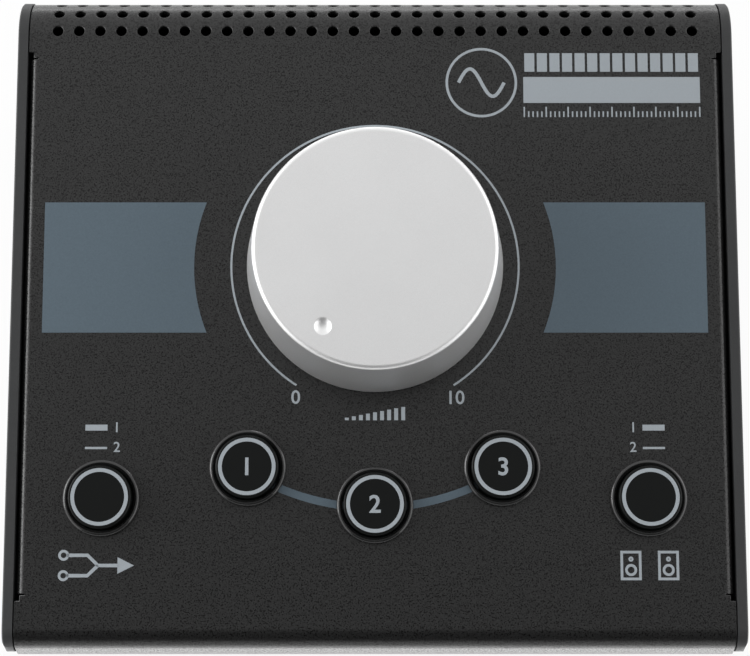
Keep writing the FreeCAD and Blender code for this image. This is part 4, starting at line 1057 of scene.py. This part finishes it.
def make_jacks():
    """Eight sockets with threaded bushings, and the nuts that hold them."""
    nuts = Surface()
    wall = node_box("rear_panel")[0].y
    nut_low, nut_high = node_box("jack_nuts")
    nut = hex_nut(NUT_FLATS / 2, JACK_CREST, nut_high.y - nut_low.y)
    thread_start = nut_high.y - wall - THREAD_SINK
    z = frame["record"]["mounts"][0]["pos_m"][2] / MM
    for number in range(1, JACKS + 1):
        node = f"jack_socket_{number}"
        low, high = node_box(node)
        x = (low.x + high.x) / 2
        end, depth = high.y - wall, wall - low.y
        corners = [(JACK_CREST, 0), (JACK_CREST, thread_start)]
        turns = int((end - thread_start - THREAD_END) / THREAD_PITCH)
        for step in range(turns):
            corners += [(JACK_ROOT, thread_start + THREAD_PITCH * (step + THREAD_ROOT_AT)),
                        (JACK_CREST, thread_start + THREAD_PITCH * (step + THREAD_CREST_AT))]
        corners += [(JACK_CREST, end - JACK_BREAK), (JACK_CREST - JACK_BREAK, end),
                    (JACK_BORE + JACK_BREAK, end), (JACK_BORE, end - JACK_BREAK),
                    (JACK_BORE, JACK_FLOOR - depth), (0, JACK_FLOOR - depth)]
        socket = turned(outline(corners, closed=False), JACK_SEGMENTS)
        box_with_hole(Vector((low.x - x, z - high.z, -depth)),
                      Vector((high.x - x, z - low.z, 0)), socket)
        add_piece(f"jack_{number}", socket, "chassis", "socket_plastic",
                  facing_back(x, wall, z), [node])
        nuts.join(nut, Matrix.Translation((x, -z, nut_low.y)))
    add_piece("socket_nuts", nuts, "chassis", "nickel", facing_back(0, 0, 0), ["jack_nuts"])


def hex_nut(apothem, bore, thick):
    """A nut with both ends chamfered, on the axis, from height 0 up."""
    surface = Surface()
    count = 6 * NUT_SIDE_STEPS
    flat = apothem * NUT_FACE_SHARE
    rows = []
    for index in range(count):
        angle = math.tau * index / count
        local = (angle + math.pi / 6) % (math.pi / 3) - math.pi / 6
        corner = apothem / math.cos(local)
        drop = (corner - flat) * math.tan(NUT_CHAMFER)
        x, y = math.cos(angle), math.sin(angle)
        spots = [(bore, JACK_BREAK), (bore + JACK_BREAK, 0), (flat, 0), (corner, drop),
                 (corner, thick - drop), (flat, thick), (bore + JACK_BREAK, thick),
                 (bore, thick - JACK_BREAK)]
        rows.append(surface.add_points([(x * r, y * r, h) for r, h in spots]))
    for index in range(count):
        here, there = rows[index], rows[(index + 1) % count]
        for step in range(len(here)):
            after = (step + 1) % len(here)
            surface.add_face([here[step], there[step], there[after], here[after]])
    return surface


# ---- carried-over CAD nodes

WELD_DISTANCE = 0.002
EDGE_ROUNDS = {"left_cheek": 0.25, "right_cheek": 0.25, "rear_panel": 0.2, "base_pan": 0.2}
SHARP_EDGE = math.radians(28)


def dress_nodes():
    """Give every CAD node its slot's material and smooth bends, and round the plates' edges."""
    slot_of = {part["node"]: part["material_slot"] for part in frame["record"]["subparts"]}
    for name, node in frame["nodes"].items():
        node.data.materials.clear()
        node.data.materials.append(MATERIALS[slot_of[name]])
        weld = node.modifiers.new("weld", "WELD")
        weld.merge_threshold = WELD_DISTANCE * MM
        if name in EDGE_ROUNDS:
            bevel = node.modifiers.new("edge_rounds", "BEVEL")
            bevel.width = EDGE_ROUNDS[name] * MM
            bevel.segments = 2
            bevel.limit_method = "ANGLE"
            bevel.angle_limit = SHARP_EDGE
        node.modifiers.new("weighted_normals", "WEIGHTED_NORMAL").keep_sharp = True


# ---- studio

IMAGE_WIDTH = 750
CAMERA_FOCUS = 2056.35
CAMERA_TILT = math.radians(9.112)
CAMERA_DISTANCE = 557.83
CAMERA_AIM = -17.24
CAMERA_NEAR = 10.0
SENSOR = 36.0

# Lights: the place, aim and size in metres of the row frame, and the radiance, where 1 is white.
LIGHTS = {
    "left_softbox": ((-0.76, -0.14, 0.38), (0, 0, 0.04), (1.4, 0.8), 1.2),
    "left_lamp": ((-0.7, -0.02, 0.34), (0, 0, 0.04), (0.45, 0.35), 4.3),
    "right_softbox": ((0.76, -0.14, 0.38), (0, 0, 0.04), (1.4, 0.8), 1.45),
    "rear_strip": ((0, 0.8, 0.085), (0, 0, 0.08), (1.2, 0.16), 2.0),
    "front_strip": ((0, -0.0975, 0.002), (0, -0.0975, 1), (0.3, 0.0145), 1.45),
}
BRIGHTEST_TILT = math.radians(26)
BRIGHTEST_WAY = Vector((0, math.cos(BRIGHTEST_TILT), math.sin(BRIGHTEST_TILT)))
ROOM_COSINES = (-0.18, 0.62)
ROOM_RADIANCE = (0.05, 0.86)
FLOOR_HALF = 6.0
FLOOR_WHITE_SHARE = 0.93


def make_camera():
    data = bpy.data.cameras.new("camera")
    data.sensor_width = SENSOR
    data.lens = SENSOR * CAMERA_FOCUS / IMAGE_WIDTH
    data.clip_start = CAMERA_NEAR * MM
    camera = bpy.data.objects.new("camera", data)
    bpy.context.scene.collection.objects.link(camera)
    place = Vector((0, CAMERA_AIM - CAMERA_DISTANCE * math.sin(CAMERA_TILT),
                    CAMERA_DISTANCE * math.cos(CAMERA_TILT))) * MM
    camera.matrix_world = PANEL @ Matrix.Translation(place) @ Matrix.Rotation(CAMERA_TILT, 4, "X")
    bpy.context.scene.camera = camera


def add_light(name, place, aim, size, radiance):
    """A rectangular softbox of an even radiance."""
    data = bpy.data.lights.new(name, "AREA")
    data.shape = "RECTANGLE"
    data.size, data.size_y = size
    data.energy = radiance * math.pi * data.size * data.size_y
    light = bpy.data.objects.new(name, data)
    light.location = place
    light.rotation_euler = (Vector(aim) - Vector(place)).to_track_quat("-Z", "Y").to_euler()
    bpy.context.scene.collection.objects.link(light)


def make_floor():
    """A pale floor that keeps shadows and looks nearly white to cameras, gloss and glass."""
    finish = Finish("white_floor", (0.9, 0.9, 0.9), 0.9, Specular_IOR_Level=0.0)
    path = finish.node("ShaderNodeLightPath").outputs
    seen = finish.math("MAXIMUM", path["Is Camera Ray"], path["Is Glossy Ray"])
    seen = finish.math("MAXIMUM", seen, path["Is Transmission Ray"])
    glow = finish.node("ShaderNodeEmission")
    glow.inputs["Strength"].default_value = 1.0
    finish.mix(finish.math("MULTIPLY", seen, FLOOR_WHITE_SHARE), finish.shader, glow,
               "Material Output")
    mesh = bpy.data.meshes.new("floor")
    corners = rectangle(-FLOOR_HALF, -FLOOR_HALF, FLOOR_HALF, FLOOR_HALF)
    mesh.from_pydata([(*corner, 0) for corner in corners], [], [range(4)])
    mesh.materials.append(finish.material)
    floor = bpy.data.objects.new("floor", mesh)
    bpy.context.scene.collection.objects.link(floor)


def make_world():
    """A pale room, brightest behind and a little above the object, and white to the camera."""
    world = bpy.data.worlds.new("studio")
    bpy.context.scene.world = world
    nodes = Nodes(world)
    room, white = nodes.tree.nodes["Background"], nodes.node("ShaderNodeBackground")
    for background in (room, white):
        background.inputs["Color"].default_value = (1, 1, 1, 1)
    along = nodes.node("ShaderNodeVectorMath", operation="DOT_PRODUCT")
    along.inputs[1].default_value = BRIGHTEST_WAY
    nodes.link(nodes.node("ShaderNodeTexCoord").outputs["Generated"], along.inputs[0])
    nodes.link(nodes.remap(along.outputs["Value"], *ROOM_COSINES, *ROOM_RADIANCE, "SMOOTHSTEP"),
               room.inputs["Strength"])
    path = nodes.node("ShaderNodeLightPath")
    nodes.mix(path.outputs["Is Camera Ray"], room, white, "World Output")


def make_studio():
    make_camera()
    make_floor()
    make_world()
    for name, light in LIGHTS.items():
        add_light(name, *light)
    bpy.context.scene.view_settings.view_transform = "Standard"


# ---- build

make_cover()
make_knob()
for button, place in BUTTONS.items():
    make_button(button, *place)
make_dial_print()
make_side_blocks()
make_button_print()
make_selector_print()
make_source_sign()
make_monitor_sign()
make_corner_print()
make_jacks()
dress_nodes()
make_studio()
